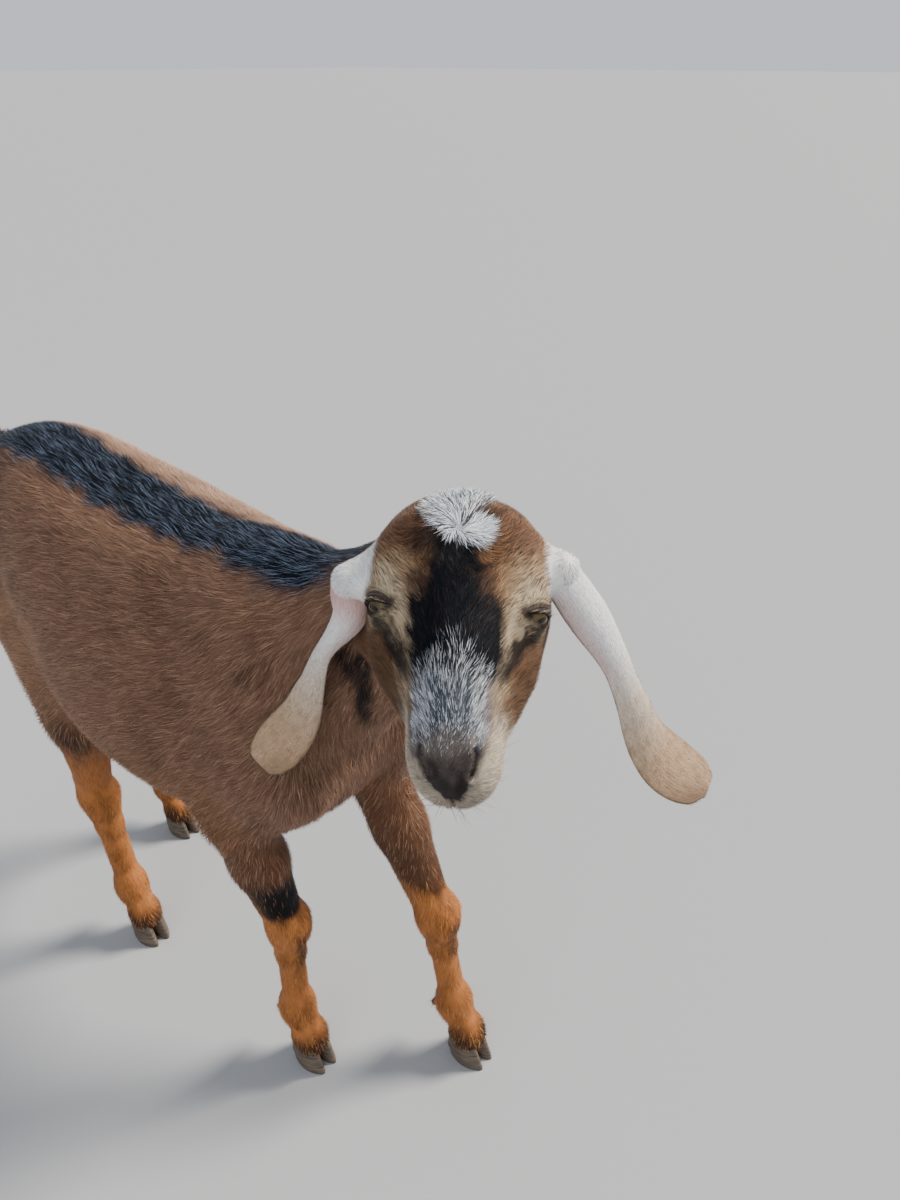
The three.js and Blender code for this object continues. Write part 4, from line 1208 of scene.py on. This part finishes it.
# How the hair lies, and how long, wide and close its tufts are
def head_lie(p):
    s, y, z = in_head(p)
    turn = np.degrees(np.arctan2(np.abs(y), z + 5))
    way = np.sign(y)
    zero = np.zeros(len(p))
    upper = np.stack([zero - 1, 0.012 * y, zero], 1)
    upper[:, 1] += way * 0.5 * bell(s - 50, 24)
    cheek = np.stack([zero - 1, 0.3 * way, zero - 0.45], 1)
    lie = lay(upper, cheek, smooth(60, 100, turn))
    ds = s - whorl[0]
    dy = y - whorl[1]
    r = np.hypot(ds, dy) + 1e-6
    spiral = 0.6
    radial = np.stack([ds / r - spiral * dy / r, dy / r + spiral * ds / r, zero], 1)
    lie = lay(lie, radial, falling(20, 32, r + 6 * (s < whorl[0])) * falling(75, 100, turn))
    lie = lay(lie, np.stack([zero - 0.6, 0.6 * way, zero - 0.6], 1), falling(-16, 6, s))
    for turn_way in (1, -1):
        a, b, c = in_eye(p, turn_way)
        long, up = eye_axes(turn_way)[2:]
        r = np.hypot(a, b) + 1e-6
        away = (a / r)[:, None] * long + (b / r)[:, None] * up
        local = np.stack([away @ along, away @ across, away @ dorsal], 1)
        lie = lay(lie, local, 0.4 * falling(10, 22, r) * (c > 0))
    return lie[:, :1] * along + lie[:, 1:2] * across + lie[:, 2:] * dorsal


straight_down = np.array([0, 0, -1.0])


def body_lie(p):
    x, y, z = p.T
    flank = smooth(12, 60, np.abs(y))
    down = 0.3 * flank + 0.8 * flank * smooth(50, 150, x) + 0.9 * falling(-240, -190, x)
    down = down + 0.5 * falling(300, 360, z)
    lie = np.stack([np.full(len(p), -1.0), np.zeros(len(p)), -down], 1)
    q = p - neck_start
    crest = smooth(-5, 40, q @ neck_crest)
    neck = -0.9 * neck_way + straight_down * (1 - crest)[:, None]
    breast = smooth(150, 185, x) * falling(380, 430, z)
    lie = painted(
        lie, (neck, smooth(-20, 30, past(p, *neck_base))), (straight_down, breast),
        (straight_down, falling(240, 310, z)),
        (tail_way, falling(-268, -256, x) * smooth(450, 470, z)))
    off_middle = np.abs(in_head(p)[1])
    on_head = smooth(-14, 6, past(p, *head_face)) * (off_middle < 70) * (z > 380)
    on_head = on_head * falling(4, 14, head_field(p))
    return lay(lie, head_lie(p), on_head), on_head


# Length and width of the hair in millimetres
trunk_hair = (15.0, 0.85)
leg_hair = (8.5, 0.62)
face_hair = (8.5, 0.46)
finer_on_muzzle = (4.8, 0.08)
lid_hair = (2.4, 0.32)
nape_long = 7.5
ear_root_long = 5.0
ear_long = 4.8
ear_wide = 0.42
hoof_top = 24

body_flat = flat_points[:body_count]
base_colour, odd_colour, odd_share = body_markings(body_flat)
lie, on_head = body_lie(body_flat)
face_colours = head_markings(body_flat)
s, y, z = in_head(body_flat)
to_ear = np.minimum(*[to_path(body_flat, np.array(stub)) for stub in ear_stub.values()])
ear_root = falling(15, 20, to_ear) * smooth(42, 48, np.abs(y))
base_colour = painted(base_colour, (face_colours[0], on_head), (ear_white, ear_root))
odd_colour = painted(odd_colour, (face_colours[1], on_head), (ear_tan, ear_root))
odd_share = painted(odd_share, (face_colours[2], on_head), (0.06, ear_root))
leg_low = falling(*leg_heights, body_flat[:, 2])
near_nape = falling(55, 85, np.linalg.norm(body_flat - nape, axis=1))
muzzle = smooth(112, 142, s)
hair_long = painted(
    np.full(body_count, trunk_hair[0]), (leg_hair[0], leg_low), (nape_long, near_nape),
    (face_hair[0] - finer_on_muzzle[0] * muzzle, on_head), (ear_root_long, ear_root))
hair_wide = painted(
    np.full(body_count, trunk_hair[1]), (leg_hair[1], leg_low),
    (face_hair[1] - finer_on_muzzle[1] * muzzle, on_head))
hair_rise = coat_depth(body_flat) * lay(np.full(body_count, 0.95), 0.7, leg_low)
hair_rise = lay(hair_rise, 0.7, ear_root)
nostril, mouth, philtrum = face_lines(body_flat)
pad_edge = np.minimum(pad_half(s), pad_low_half(z))
on_pad = falling(pad_edge - 3, pad_edge, np.abs(y)) * smooth(153, 157, s) * smooth(-9, -6, z)
bare = np.maximum(on_pad, falling(2.0, 3.0, nostril))
bare = np.maximum(bare, falling(1.2, 2.0, np.minimum(mouth, philtrum)))
for turn in (1, -1):
    a, b, c = in_eye(body_flat, turn)
    over = beyond_lid(a, b)
    close = falling(2.0, 12.0, over) * (c > 2) * on_head
    bare = np.maximum(bare, (over < 0.9) * (c > 2))
    hair_long = lay(hair_long, lid_hair[0], close)
    hair_wide = lay(hair_wide, lid_hair[1], close)
    hair_rise = lay(hair_rise, 0.5, close)
closeness = (1 - bare * on_head) * (body_flat[:, 2] > hoof_top)

sheet_region = vertex_region[body_count:]
t, ring_turn = sheet_places.T
inner = ring_turn >= 0.5
u = np.where(inner, 3 - 4 * ring_turn, 4 * ring_turn - 1)
u = np.clip(u, -1, 1)
on_ear = sheet_region <= regions.index("ear_right")
sheet_base, sheet_odd, sheet_share = ear_markings(t, u, inner * 1.0)
sheet_base[~on_ear] = lid_edge
base_colour = np.vstack([base_colour, sheet_base])
odd_colour = np.vstack([odd_colour, sheet_odd])
odd_share = np.concatenate([odd_share, sheet_share * on_ear])
lie = np.vstack([lie, *extra_lies])
hair_long = np.concatenate([hair_long, ear_long - t - 2 * smooth(0.93, 1, t)])
hair_wide = np.concatenate([hair_wide, np.full(len(t), ear_wide)])
hair_rise = np.concatenate([hair_rise, np.full(len(t), 0.5)])
pink_skin = inner * falling(0.26, 0.38, t) * falling(0.6, 0.9, np.abs(u))
closeness = np.concatenate([closeness, on_ear * (1 - 0.8 * pink_skin)])


def paint_points(mesh, name, colours):
    layer = mesh.color_attributes.new(name, "FLOAT_COLOR", "POINT")
    rgba = np.ones((len(colours), 4), np.float32)
    rgba[:, :3] = colours
    layer.data.foreach_set("color", rgba.ravel())


hide_odd_share = 0.6
hide_shade = 0.8
hide_colour = lay(base_colour, odd_colour, hide_odd_share * odd_share)
paint_points(skin_mesh, "coat_colour", hide_colour * hide_shade)


# Hair grain, for the hide and the tufts: fine streaks that lighten, darken and raise the surface
def node_in(tree, kind, inputs, **settings):
    """A new shader node, its inputs set to values or linked to other nodes' outputs."""
    node = tree.nodes.new("ShaderNode" + kind)
    for key, value in settings.items():
        setattr(node, key, value)
    for key, value in inputs.items():
        if isinstance(value, bpy.types.NodeSocket):
            tree.links.new(value, node.inputs[key])
        else:
            node.inputs[key].default_value = value
    return node


hair_grain = bpy.data.node_groups.new("hair_grain", "ShaderNodeTree")
for name, way, kind in (("Colour", "INPUT", "Color"), ("Place", "INPUT", "Vector"),
                        ("Contrast", "INPUT", "Float"), ("Colour", "OUTPUT", "Color"),
                        ("Height", "OUTPUT", "Float")):
    hair_grain.interface.new_socket(name, in_out=way, socket_type="NodeSocket" + kind)
given = hair_grain.nodes.new("NodeGroupInput").outputs
strand = node_in(hair_grain, "TexNoise", {
    "Vector": given["Place"], "Scale": 1.0, "Detail": 3.0, "Roughness": 0.6}).outputs["Fac"]
spread = node_in(hair_grain, "Math", {0: strand, 1: 0.5}, operation="SUBTRACT").outputs[0]
scaled = node_in(hair_grain, "Math", {0: spread, 1: given["Contrast"], 2: 1.0},
                 operation="MULTIPLY_ADD").outputs[0]
tinted = node_in(hair_grain, "VectorMath", {0: given["Colour"], "Scale": scaled}, operation="SCALE")
grain_out = hair_grain.nodes.new("NodeGroupOutput")
hair_grain.links.new(tinted.outputs[0], grain_out.inputs["Colour"])
hair_grain.links.new(strand, grain_out.inputs["Height"])


def new_material(name, roughness):
    material = bpy.data.materials.new(name)
    material.use_nodes = True
    shader = material.node_tree.nodes["Principled BSDF"]
    shader.inputs["Roughness"].default_value = roughness
    return material, material.node_tree, shader


hair_shine = 0.08
sheen_spread = 0.4
bump_share = 0.9


def hairy_material(name, from_map, stretch, contrast, roughness, sheen, bump_mm):
    material, tree, shader = new_material(name, roughness)
    shader.inputs["Specular IOR Level"].default_value = hair_shine
    shader.inputs["Sheen Weight"].default_value = sheen
    shader.inputs["Sheen Roughness"].default_value = sheen_spread
    colour = node_in(tree, "Attribute", {}, attribute_name="coat_colour")
    if from_map:
        where = node_in(tree, "UVMap", {}, uv_map="comb").outputs["UV"]
    else:
        where = node_in(tree, "TexCoord", {}).outputs["Object"]
    stretched = node_in(tree, "Mapping", {"Vector": where, "Scale": stretch})
    grain = node_in(tree, "Group", {}, node_tree=hair_grain)
    grain.inputs["Contrast"].default_value = contrast
    tree.links.new(stretched.outputs["Vector"], grain.inputs["Place"])
    tree.links.new(colour.outputs["Color"], grain.inputs["Colour"])
    tree.links.new(grain.outputs["Colour"], shader.inputs["Base Color"])
    if bump_mm:
        bump = node_in(tree, "Bump", {
            "Distance": bump_mm * mm, "Strength": bump_share, "Height": grain.outputs["Height"]})
        tree.links.new(bump.outputs["Normal"], shader.inputs["Normal"])
    return material


skin_mesh.materials.append(hairy_material(
    "goat_hide", from_map=True, stretch=(0.16, 1.3, 1), contrast=0.9, roughness=0.62, sheen=0.04,
    bump_mm=0.8))
flesh = ("torso", "neck", "head", "tail", "leg", "ear")
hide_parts(*[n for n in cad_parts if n.split("_")[0] in flesh])
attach(skin, "root")


# Eyes
# Two wet globes set in the sockets, with a dark amber iris and the level bar of a goat's pupil.
# The clear front of each globe is raised a little and the lids lie close on it.
iris_radius = 7.4
globe_reach = 12.0
pupil_long = 3.7
pupil_tall = 1.25
cornea_lift = 0.45
cornea_turn = 20.0
eye_shine = 0.15
wet_share = 0.15
wet_roughness = 0.06
fibre_turns = 9.0
fibre_run = 0.35
fibre_fray = 0.16
pupil_corners = 4.0
pupil_dark = (0.006, 0.006, 0.008, 1)
iris_end = iris_radius / globe_reach
iris_stops = [
    (0.0, srgb(50, 43, 25)), (0.22, srgb(70, 60, 35)), (iris_end - 0.16, srgb(92, 77, 46)),
    (iris_end - 0.05, srgb(62, 50, 31)), (iris_end, srgb(24, 19, 15)),
    (iris_end + 0.14, srgb(34, 27, 23))]


def set_stops(ramp, stops):
    elements = ramp.color_ramp.elements
    while len(elements) < len(stops):
        elements.new(0.5)
    for element, (at, colour) in zip(elements, stops):
        element.position = at
        element.color = (*colour, 1)


def eye_material(name):
    material, tree, shader = new_material(name, roughness=0.22)
    shader.inputs["Specular IOR Level"].default_value = eye_shine
    shader.inputs["Coat Weight"].default_value = wet_share
    shader.inputs["Coat Roughness"].default_value = wet_roughness
    gaze = node_in(tree, "UVMap", {}, uv_map="gaze").outputs["UV"]
    x, y = node_in(tree, "SeparateXYZ", {0: gaze}).outputs[:2]

    def worked(operation, *terms):
        return node_in(tree, "Math", dict(enumerate(terms)), operation=operation).outputs[0]

    radius = worked("SQRT", worked("ADD", worked("MULTIPLY", x, x), worked("MULTIPLY", y, y)))
    fibre_place = node_in(tree, "CombineXYZ", {
        0: worked("MULTIPLY", worked("ARCTAN2", y, x), fibre_turns),
        1: worked("MULTIPLY", radius, fibre_run)})
    fibre = node_in(tree, "TexNoise", {
        "Vector": fibre_place.outputs[0], "Scale": 1.4, "Detail": 4.0}).outputs[0]
    fray = worked("MULTIPLY", worked("SUBTRACT", fibre, 0.5), fibre_fray)
    ramp = node_in(tree, "ValToRGB", {0: worked("ADD", worked("DIVIDE", radius, globe_reach), fray)})
    set_stops(ramp, iris_stops)
    bar = [worked("POWER", worked("DIVIDE", worked("ABSOLUTE", way), reach), pupil_corners)
           for way, reach in ((x, pupil_long), (y, pupil_tall))]
    edge = worked("SUBTRACT", 1.0, worked("MINIMUM", worked("MULTIPLY", worked("ADD", *bar), 0.9), 1.0))
    dark = worked("MINIMUM", worked("MULTIPLY", edge, 3.0), 1.0)
    mix = node_in(tree, "Mix", {}, data_type="RGBA")
    tree.links.new(dark, mix.inputs["Factor"])
    tree.links.new(ramp.outputs[0], mix.inputs["A"])
    mix.inputs["B"].default_value = pupil_dark
    tree.links.new(mix.outputs["Result"], shader.inputs["Base Color"])
    return material


eye_finish = eye_material("goat_eye")
for name, turn in (("left", 1), ("right", -1)):
    centre, out, long, up = eye_axes(turn)
    gaze_way = unit(out + 0.1 * along)
    level_way = unit(np.cross((0, 0, 1), gaze_way))
    tall_way = np.cross(gaze_way, level_way)
    net = bmesh.new()
    bmesh.ops.create_uvsphere(net, u_segments=72, v_segments=48, radius=eyeball_radius)
    gaze_layer = net.loops.layers.uv.new("gaze")
    for face in net.faces:
        face.smooth = True
        for loop in face.loops:
            loop[gaze_layer].uv = loop.vert.co.xy
    for vert in net.verts:
        off = math.degrees(math.acos(max(-1, min(1, vert.co.z / eyeball_radius))))
        vert.co *= 1 + cornea_lift / eyeball_radius * math.exp(-(off / cornea_turn) ** 2)
        local = np.array(vert.co)
        vert.co = metres(centre + local[0] * level_way + local[1] * tall_way + local[2] * gaze_way)
    eye_mesh = bpy.data.meshes.new("eyeball_" + name)
    net.to_mesh(eye_mesh)
    net.free()
    eye_mesh.materials.append(eye_finish)
    eyeball = in_scene("eyeball_" + name, eye_mesh)
    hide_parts("eye_" + name)
    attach(eyeball, "root")


# Hooves
# Each foot has two claws of dark horn round the last bones of the toes, with soft bulbs behind.
# Growth lines run round the wall and the hair of the coronet hangs over its top.
claw_long = 36.0
claw_wide = 14.5
claw_gap = 1.6
claw_rings = 15
claw_sides = 36
claw_taper = 0.76
claw_step = 1.5
growth_height = 0.008
growth_rings = 34
bulb_radius = np.array([8.0, 6.6, 9.0])
bulb_behind = 7.5
bulb_aside = 6.2
bulb_lift = 0.2


def claw(limb, side, top):
    x0, y0 = limb["coronet"][:2]
    rings = []
    for i in range(claw_rings):
        t = i / (claw_rings - 1)
        edge = 1 - 0.05 * math.exp(-t * 26) - 0.03 * smooth(0.93, 1, t)
        growth = 1 + growth_height * math.sin(t * growth_rings)
        long = (claw_long + (claw_long * claw_taper - claw_long) * t) / 2 * edge * growth
        wide = claw_wide * (1 + 0.02 * t) / 2 * edge * growth
        a = 2 * np.pi * np.arange(claw_sides) / claw_sides
        toe = np.maximum(np.cos(a), 0)
        x = x0 + 6 - 7.5 * t + long * np.cos(a)
        y = (y0 + side * (claw_wide / 2 + claw_gap / 2 - t * 1.2)
             + wide * np.sin(a) * (1 - 0.34 * toe ** 2) - side * 1.6 * toe * (1 - t))
        rings.append(np.stack([x, y, np.full(claw_sides, t * top)], 1))
    return closed_tube(np.array(rings))


def globe(centre, radii, stations=14, sides=20):
    turns = 2 * np.pi * np.arange(sides) / sides
    rings = []
    for lift in np.cos(np.pi * (np.arange(stations) + 0.5) / stations)[::-1]:
        wide = math.sqrt(1 - lift * lift)
        rings.append(np.stack([wide * np.cos(turns), wide * np.sin(turns), np.full(sides, lift)], 1))
    return closed_tube(np.array(rings) * radii + centre)


horn_grain = (60, 60, 520)
horn_relief = 0.4
horn_stops = [(0.3, srgb(46, 40, 36)), (0.72, srgb(112, 96, 78))]
horn, horn_tree, horn_shader = new_material("hoof_horn", roughness=0.48)
horn_place = node_in(horn_tree, "TexCoord", {}).outputs["Object"]
horn_stretch = node_in(horn_tree, "Mapping", {"Vector": horn_place, "Scale": horn_grain})
horn_noise = node_in(horn_tree, "TexNoise", {
    "Vector": horn_stretch.outputs["Vector"], "Scale": 1.0, "Detail": 5.0}).outputs["Fac"]
horn_ramp = node_in(horn_tree, "ValToRGB", {"Fac": horn_noise})
set_stops(horn_ramp, horn_stops)
horn_bump = node_in(horn_tree, "Bump", {"Distance": horn_relief * mm, "Height": horn_noise})
horn_tree.links.new(horn_ramp.outputs["Color"], horn_shader.inputs["Base Color"])
horn_tree.links.new(horn_bump.outputs["Normal"], horn_shader.inputs["Normal"])
for name, limb in limbs.items():
    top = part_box("hoof_" + name)[1][2] / mm - to_cad[2] + claw_step
    forms = [claw(limb, 1, top), claw(limb, -1, top)]
    for side in (1, -1):
        bulb = np.array([limb["coronet"][0] - bulb_behind, limb["coronet"][1] + bulb_aside * side,
                         bulb_radius[2] + bulb_lift])
        forms.append(globe(bulb, bulb_radius))
    hoof_points = np.vstack([f[0] for f in forms])
    hoof_faces = []
    offset = 0
    for form_points, form_faces in forms:
        hoof_faces += [tuple(offset + i for i in f) for f in form_faces]
        offset += len(form_points)
    hoof_points[:, 2] = np.maximum(hoof_points[:, 2], 0)
    hoof_mesh = bpy.data.meshes.new("claws_" + name)
    hoof_mesh.from_pydata(metres(hoof_points), [], hoof_faces)
    hoof_mesh.polygons.foreach_set("use_smooth", [len(f) == 4 for f in hoof_faces])
    hoof_mesh.materials.append(horn)
    hoof = in_scene("claws_" + name, hoof_mesh)
    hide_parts("hoof_" + name)
    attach(hoof, "root")


# Coat
# Short hair that lies along the body in narrow tufts, root under the skin and tip just over it.
# It is combed back from the muzzle and shoulders, down the legs and along the ears.
rng = np.random.default_rng(41)
root_sink = 0.7
patch = 0.003
own_shade = 0.2
# How dark each tuft's root is painted: painted shade deep in the coat
root_shade_tone = 0.55
ridge = 0.55
edge_turn = 0.6
hardly_any = 1e-6
whole_tile = (0, 0, 1, 1)


def tuft_piece(name, root, normal, lie, long, wide, rise, colour, tip_colour, where, rings=1,
               droop=0.0):
    """One closed three-sided tuft at each root; where is its place on the unrolled skin."""
    count = len(root)
    lie = unit_rows(lie - normal * (lie * normal).sum(1)[:, None], hardly_any)
    side = np.cross(normal, lie)
    verts = np.empty((count, 3 * rings + 1, 3))
    shade = np.empty((count, 3 * rings + 1, 3))
    normals = np.empty((count, 3 * rings + 1, 3))
    spots = np.empty((count, 3 * rings + 1, 2))
    tilt = own_shade * rng.standard_normal((count, 2))
    turned = normal + tilt[:, :1] * side + tilt[:, 1:] * lie
    for k in range(rings + 1):
        t = k / rings
        lift = (rise + root_sink) * (1 - (1 - t) ** 2) - root_sink
        centre = root + lie * (long * t)[:, None] + normal * lift[:, None]
        centre[:, 2] -= droop * t * t * long
        # Each tuft is painted darker at its root, as painted shade within the coat, and lighter toward the
        # tip
        tone = colour * (root_shade_tone + (1 - root_shade_tone) * min(2 * t, 1)) + (tip_colour - colour) * t
        if k == rings:
            verts[:, -1] = centre
            shade[:, -1] = tone
            normals[:, -1] = turned
            spots[:, -1] = (0.5, 0)
            break
        half = wide / 2 * (0.75 + 0.25 * math.sin(math.pi * t)) * (1 - t * t) ** 0.5
        for j, (out, up, edge) in enumerate(((1, 0, edge_turn), (0, ridge, 0), (-1, 0, -edge_turn))):
            verts[:, 3 * k + j] = centre + side * (out * half)[:, None] + normal * (up * half)[:, None]
            shade[:, 3 * k + j] = tone
            normals[:, 3 * k + j] = turned + edge * side
            spots[:, 3 * k + j] = (0.5 * t, -0.5 * out)
    normals = unit_rows(normals)
    spots = np.clip(where[:, None] + patch * (spots - (0.25, 0)), 0.001, 0.999)
    one = [(0, 2, 1)]
    for k in range(rings - 1):
        for j in range(3):
            a = 3 * k + j
            b = 3 * k + (j + 1) % 3
            one += [(a, b, a + 3), (b, b + 3, a + 3)]
    last = 3 * (rings - 1)
    one += [(last + j, last + (j + 1) % 3, 3 * rings) for j in range(3)]
    one = np.array(one)
    corners = (one[None] + (np.arange(count) * (3 * rings + 1))[:, None, None]).reshape(-1)
    mesh = bpy.data.meshes.new(name)
    mesh.vertices.add(count * (3 * rings + 1))
    mesh.vertices.foreach_set("co", metres(verts.reshape(-1, 3)).astype(np.float32).ravel())
    mesh.loops.add(len(corners))
    mesh.loops.foreach_set("vertex_index", corners.astype(np.int32))
    mesh.polygons.add(len(corners) // 3)
    mesh.polygons.foreach_set("loop_start", np.arange(0, len(corners), 3, dtype=np.int32))
    mesh.update(calc_edges=True)
    mesh.polygons.foreach_set("use_smooth", np.ones(len(corners) // 3, bool))
    paint_points(mesh, "coat_colour", shade.reshape(-1, 3))
    layer = mesh.uv_layers.new(name="OFBake")
    layer.data.foreach_set("uv", spots.reshape(-1, 2)[corners].astype(np.float32).ravel())
    mesh.normals_split_custom_set_from_vertices(normals.reshape(-1, 3))
    mesh.materials.append(coat_finish)
    piece = in_scene(name, mesh)
    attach(piece, "root")


coat_finish = hairy_material(
    "goat_coat", from_map=False, stretch=(900, 900, 900), contrast=0.35, roughness=0.5, sheen=0.03,
    bump_mm=0)
skin_mesh.calc_loop_triangles()
triangle_corners = read_back(skin_mesh.loop_triangles, "vertices", 3, np.int32)
triangle_loops = read_back(skin_mesh.loop_triangles, "loops", 3, np.int32)
triangle_region = loop_region[triangle_loops[:, 0]]
skin_normals = read_back(skin_mesh.vertex_normals, "vector", 3, np.float32).astype(float)
corner_points = points[triangle_corners]
triangle_area = np.linalg.norm(np.cross(corner_points[:, 1] - corner_points[:, 0],
                                        corner_points[:, 2] - corner_points[:, 0]), axis=1) / 2
tuft_area = (hair_long * hair_wide)[triangle_corners].mean(1) / 2
triangle_weight = triangle_area / tuft_area * closeness[triangle_corners].mean(1)


def spread_over(wanted, count):
    """Roots spread evenly over the wanted triangles: which triangle, and the corners' shares."""
    chosen = np.flatnonzero(wanted & (triangle_weight > 0))
    total = np.cumsum(triangle_weight[chosen])
    steps = (np.arange(count) + rng.random(count)) / count * total[-1]
    triangle = chosen[np.searchsorted(total, steps)]
    a = rng.random(count)
    b = rng.random(count)
    over = a + b > 1
    a = np.where(over, 1 - a, a)
    b = np.where(over, 1 - b, b)
    return triangle, np.stack([1 - a - b, a, b], 1)


def carried(values, triangle, share):
    corner_values = values[triangle_corners[triangle]]
    return np.einsum("nk,nk...->n...", share, corner_values)


long_spread = (0.75, 1.15)
wide_spread = (0.8, 1.2)
rise_spread = (0.55, 1.1)


def coat_piece(name, wanted, count, longer=1.0, wider=1.0, taller=1.0, stray=0.13, rings=1, droop=0.0,
               uneven=0.18):
    triangle, share = spread_over(wanted, count)
    root = carried(points, triangle, share)
    normal = unit_rows(carried(skin_normals, triangle, share))
    way = unit_rows(carried(lie, triangle, share), hardly_any)
    side = np.cross(normal, way)
    waver = stray * rng.standard_normal(count) + 0.14 * ripple(root, 31, 1) + 0.1 * ripple(root, 12, 4)
    way = way + side * waver[:, None]
    long = longer * carried(hair_long, triangle, share) * rng.uniform(*long_spread, count)
    wide = wider * carried(hair_wide, triangle, share) * rng.uniform(*wide_spread, count)
    rise = taller * carried(hair_rise, triangle, share) * rng.uniform(*rise_spread, count)
    base = carried(base_colour, triangle, share)
    odd = carried(odd_colour, triangle, share)
    odd_here = rng.random(count) < carried(odd_share, triangle, share)
    colour = np.where(odd_here[:, None], odd, base)
    tone = np.exp(uneven * rng.standard_normal(count) + 0.08 * ripple(root, 9, 2))
    colour = np.clip(colour * tone[:, None], 0, 0.92)
    loops = triangle_loops[triangle]
    where = in_tile(np.einsum("nk,nkd->nd", share, place[loops]), whole_tile)
    tip_colour = np.clip(colour * 1.12, 0, 0.95)
    tuft_piece(name, root, normal, way, long, wide, rise, colour, tip_colour, where, rings, droop)


def region_is(*names):
    return np.isin(triangle_region, [regions.index(n) for n in names])


middle_of = corner_points.mean(1)
head_side = (middle_of - nape) @ across
head_tufts = 46000
neck_tufts = 36000
trunk_tufts = 45000
leg_tufts = 15000
ear_tufts = 17000
tail_tufts = 6000
for name, here in (("left", head_side > 0), ("right", head_side <= 0)):
    coat_piece("coat_head_" + name, region_is("head") & here, head_tufts, uneven=0.28)
coat_piece("coat_neck", region_is("neck"), neck_tufts)
trunk_cuts = [-400, -110, 30, 400]
for k, name in enumerate(("rear", "middle", "front")):
    here = (middle_of[:, 0] >= trunk_cuts[k]) & (middle_of[:, 0] < trunk_cuts[k + 1])
    coat_piece("coat_trunk_" + name, region_is("torso") & here, trunk_tufts)
for name in limbs:
    coat_piece("coat_" + name, region_is(name), leg_tufts)
for name in ("left", "right"):
    coat_piece("coat_ear_" + name, region_is("ear_" + name), ear_tufts)
coat_piece("coat_tail", region_is("tail"), tail_tufts, longer=1.5, taller=1.2, droop=0.15)

# Longer hair: the ragged tuft on the poll and the stiff whiskers of the lips and chin
poll_tufts = 3400
whiskers = 160
head_s, head_y, head_z = in_head(middle_of)
to_whorl = np.hypot(head_s - whorl[0], head_y - whorl[1])
whorl_bearing = np.degrees(np.arctan2(head_y - whorl[1], whorl[0] - head_s))
on_poll = region_is("head") & (to_whorl < white_reach(whorl_bearing) - 3) & (head_z > 5)
coat_piece("poll_tuft", on_poll, poll_tufts, longer=1.3, wider=0.7, taller=3.0, stray=0.4, rings=3)
on_chin = region_is("head") & (head_s > 118) & (head_z < -11)
coat_piece("chin_whiskers", on_chin, whiskers, longer=3.6, wider=0.6, taller=5.0, stray=0.5, rings=2,
           droop=0.2)

# Lashes stand out from the edge of each upper lid
lash_count = 18
lash_lengths = (6, 10)
lash_rises = (1, 3)
lash_wide = 0.34
pale_lashes = 0.7
for name, turn in (("left", 1), ("right", -1)):
    centre, out, long_way, up_way = eye_axes(turn)
    along_lid = np.linspace(-0.85, 0.85, lash_count)
    a = lid_long * along_lid
    b = upper_lid * (1 - along_lid ** 2) + 0.3
    ahead = np.sqrt((eyeball_radius + lid_rise) ** 2 - a * a - b * b)
    root = centre + a[:, None] * long_way + b[:, None] * up_way + ahead[:, None] * out
    sweep = out + 0.55 * along_lid[:, None] * long_way - 0.25 * up_way
    lash_normal = np.tile(up_way, (lash_count, 1))
    lash_colour = np.where(rng.random(lash_count)[:, None] < pale_lashes, lip_grey, umber)
    where = in_tile(np.stack([0.25 - 0.25 * along_lid, np.full(lash_count, 0.5)], 1), whole_tile)
    tuft_piece("lashes_" + name, root, lash_normal, sweep, rng.uniform(*lash_lengths, lash_count),
               np.full(lash_count, lash_wide), rng.uniform(*lash_rises, lash_count), lash_colour,
               lash_colour, where, rings=3, droop=0.1)


# Studio
# A level pale floor under an even sky, lit by one broad warm sun from the goat's front left
# and one soft lamp from its front right.
floor_reach = 60.0
floor_colour = (0.33, 0.336, 0.346, 1)
air_colour = (0.8, 0.84, 0.92, 1)
air_strength = 0.88
floor_mesh = bpy.data.meshes.new("studio_floor")
floor_mesh.from_pydata([(-floor_reach, -floor_reach, 0), (floor_reach, -floor_reach, 0),
                        (floor_reach, floor_reach, 0), (-floor_reach, floor_reach, 0)], [],
                       [(0, 1, 2, 3)])
floor = in_scene("studio_floor", floor_mesh)
floor_paint, _, floor_shader = new_material("studio_floor_paint", roughness=0.9)
floor_shader.inputs["Base Color"].default_value = floor_colour
floor_mesh.materials.append(floor_paint)
world = bpy.data.worlds.new("studio_air")
world.use_nodes = True
air = world.node_tree.nodes["Background"]
air.inputs["Color"].default_value = air_colour
air.inputs["Strength"].default_value = air_strength
bpy.context.scene.world = world


def lamp(name, kind, place, aim, size, power, colour):
    data = bpy.data.lights.new(name, kind)
    if kind == "SUN":
        data.angle = size
    else:
        data.size = size
    data.energy = power
    data.color = colour
    light = in_scene(name, data)
    light.location = Vector(place)
    light.rotation_euler = (Vector(aim) - Vector(place)).to_track_quat("-Z", "Y").to_euler()


lamp("key_light", "SUN", place=(0.9, 1.5, 1.9), aim=(0.1, 0, 0.4), size=math.radians(18), power=7.5,
     colour=(1.0, 0.94, 0.85))
lamp("fill_light", "AREA", place=(0.9, -2.2, 1.6), aim=(0.1, 0, 0.35), size=2.2, power=26,
     colour=(0.92, 0.96, 1.0))
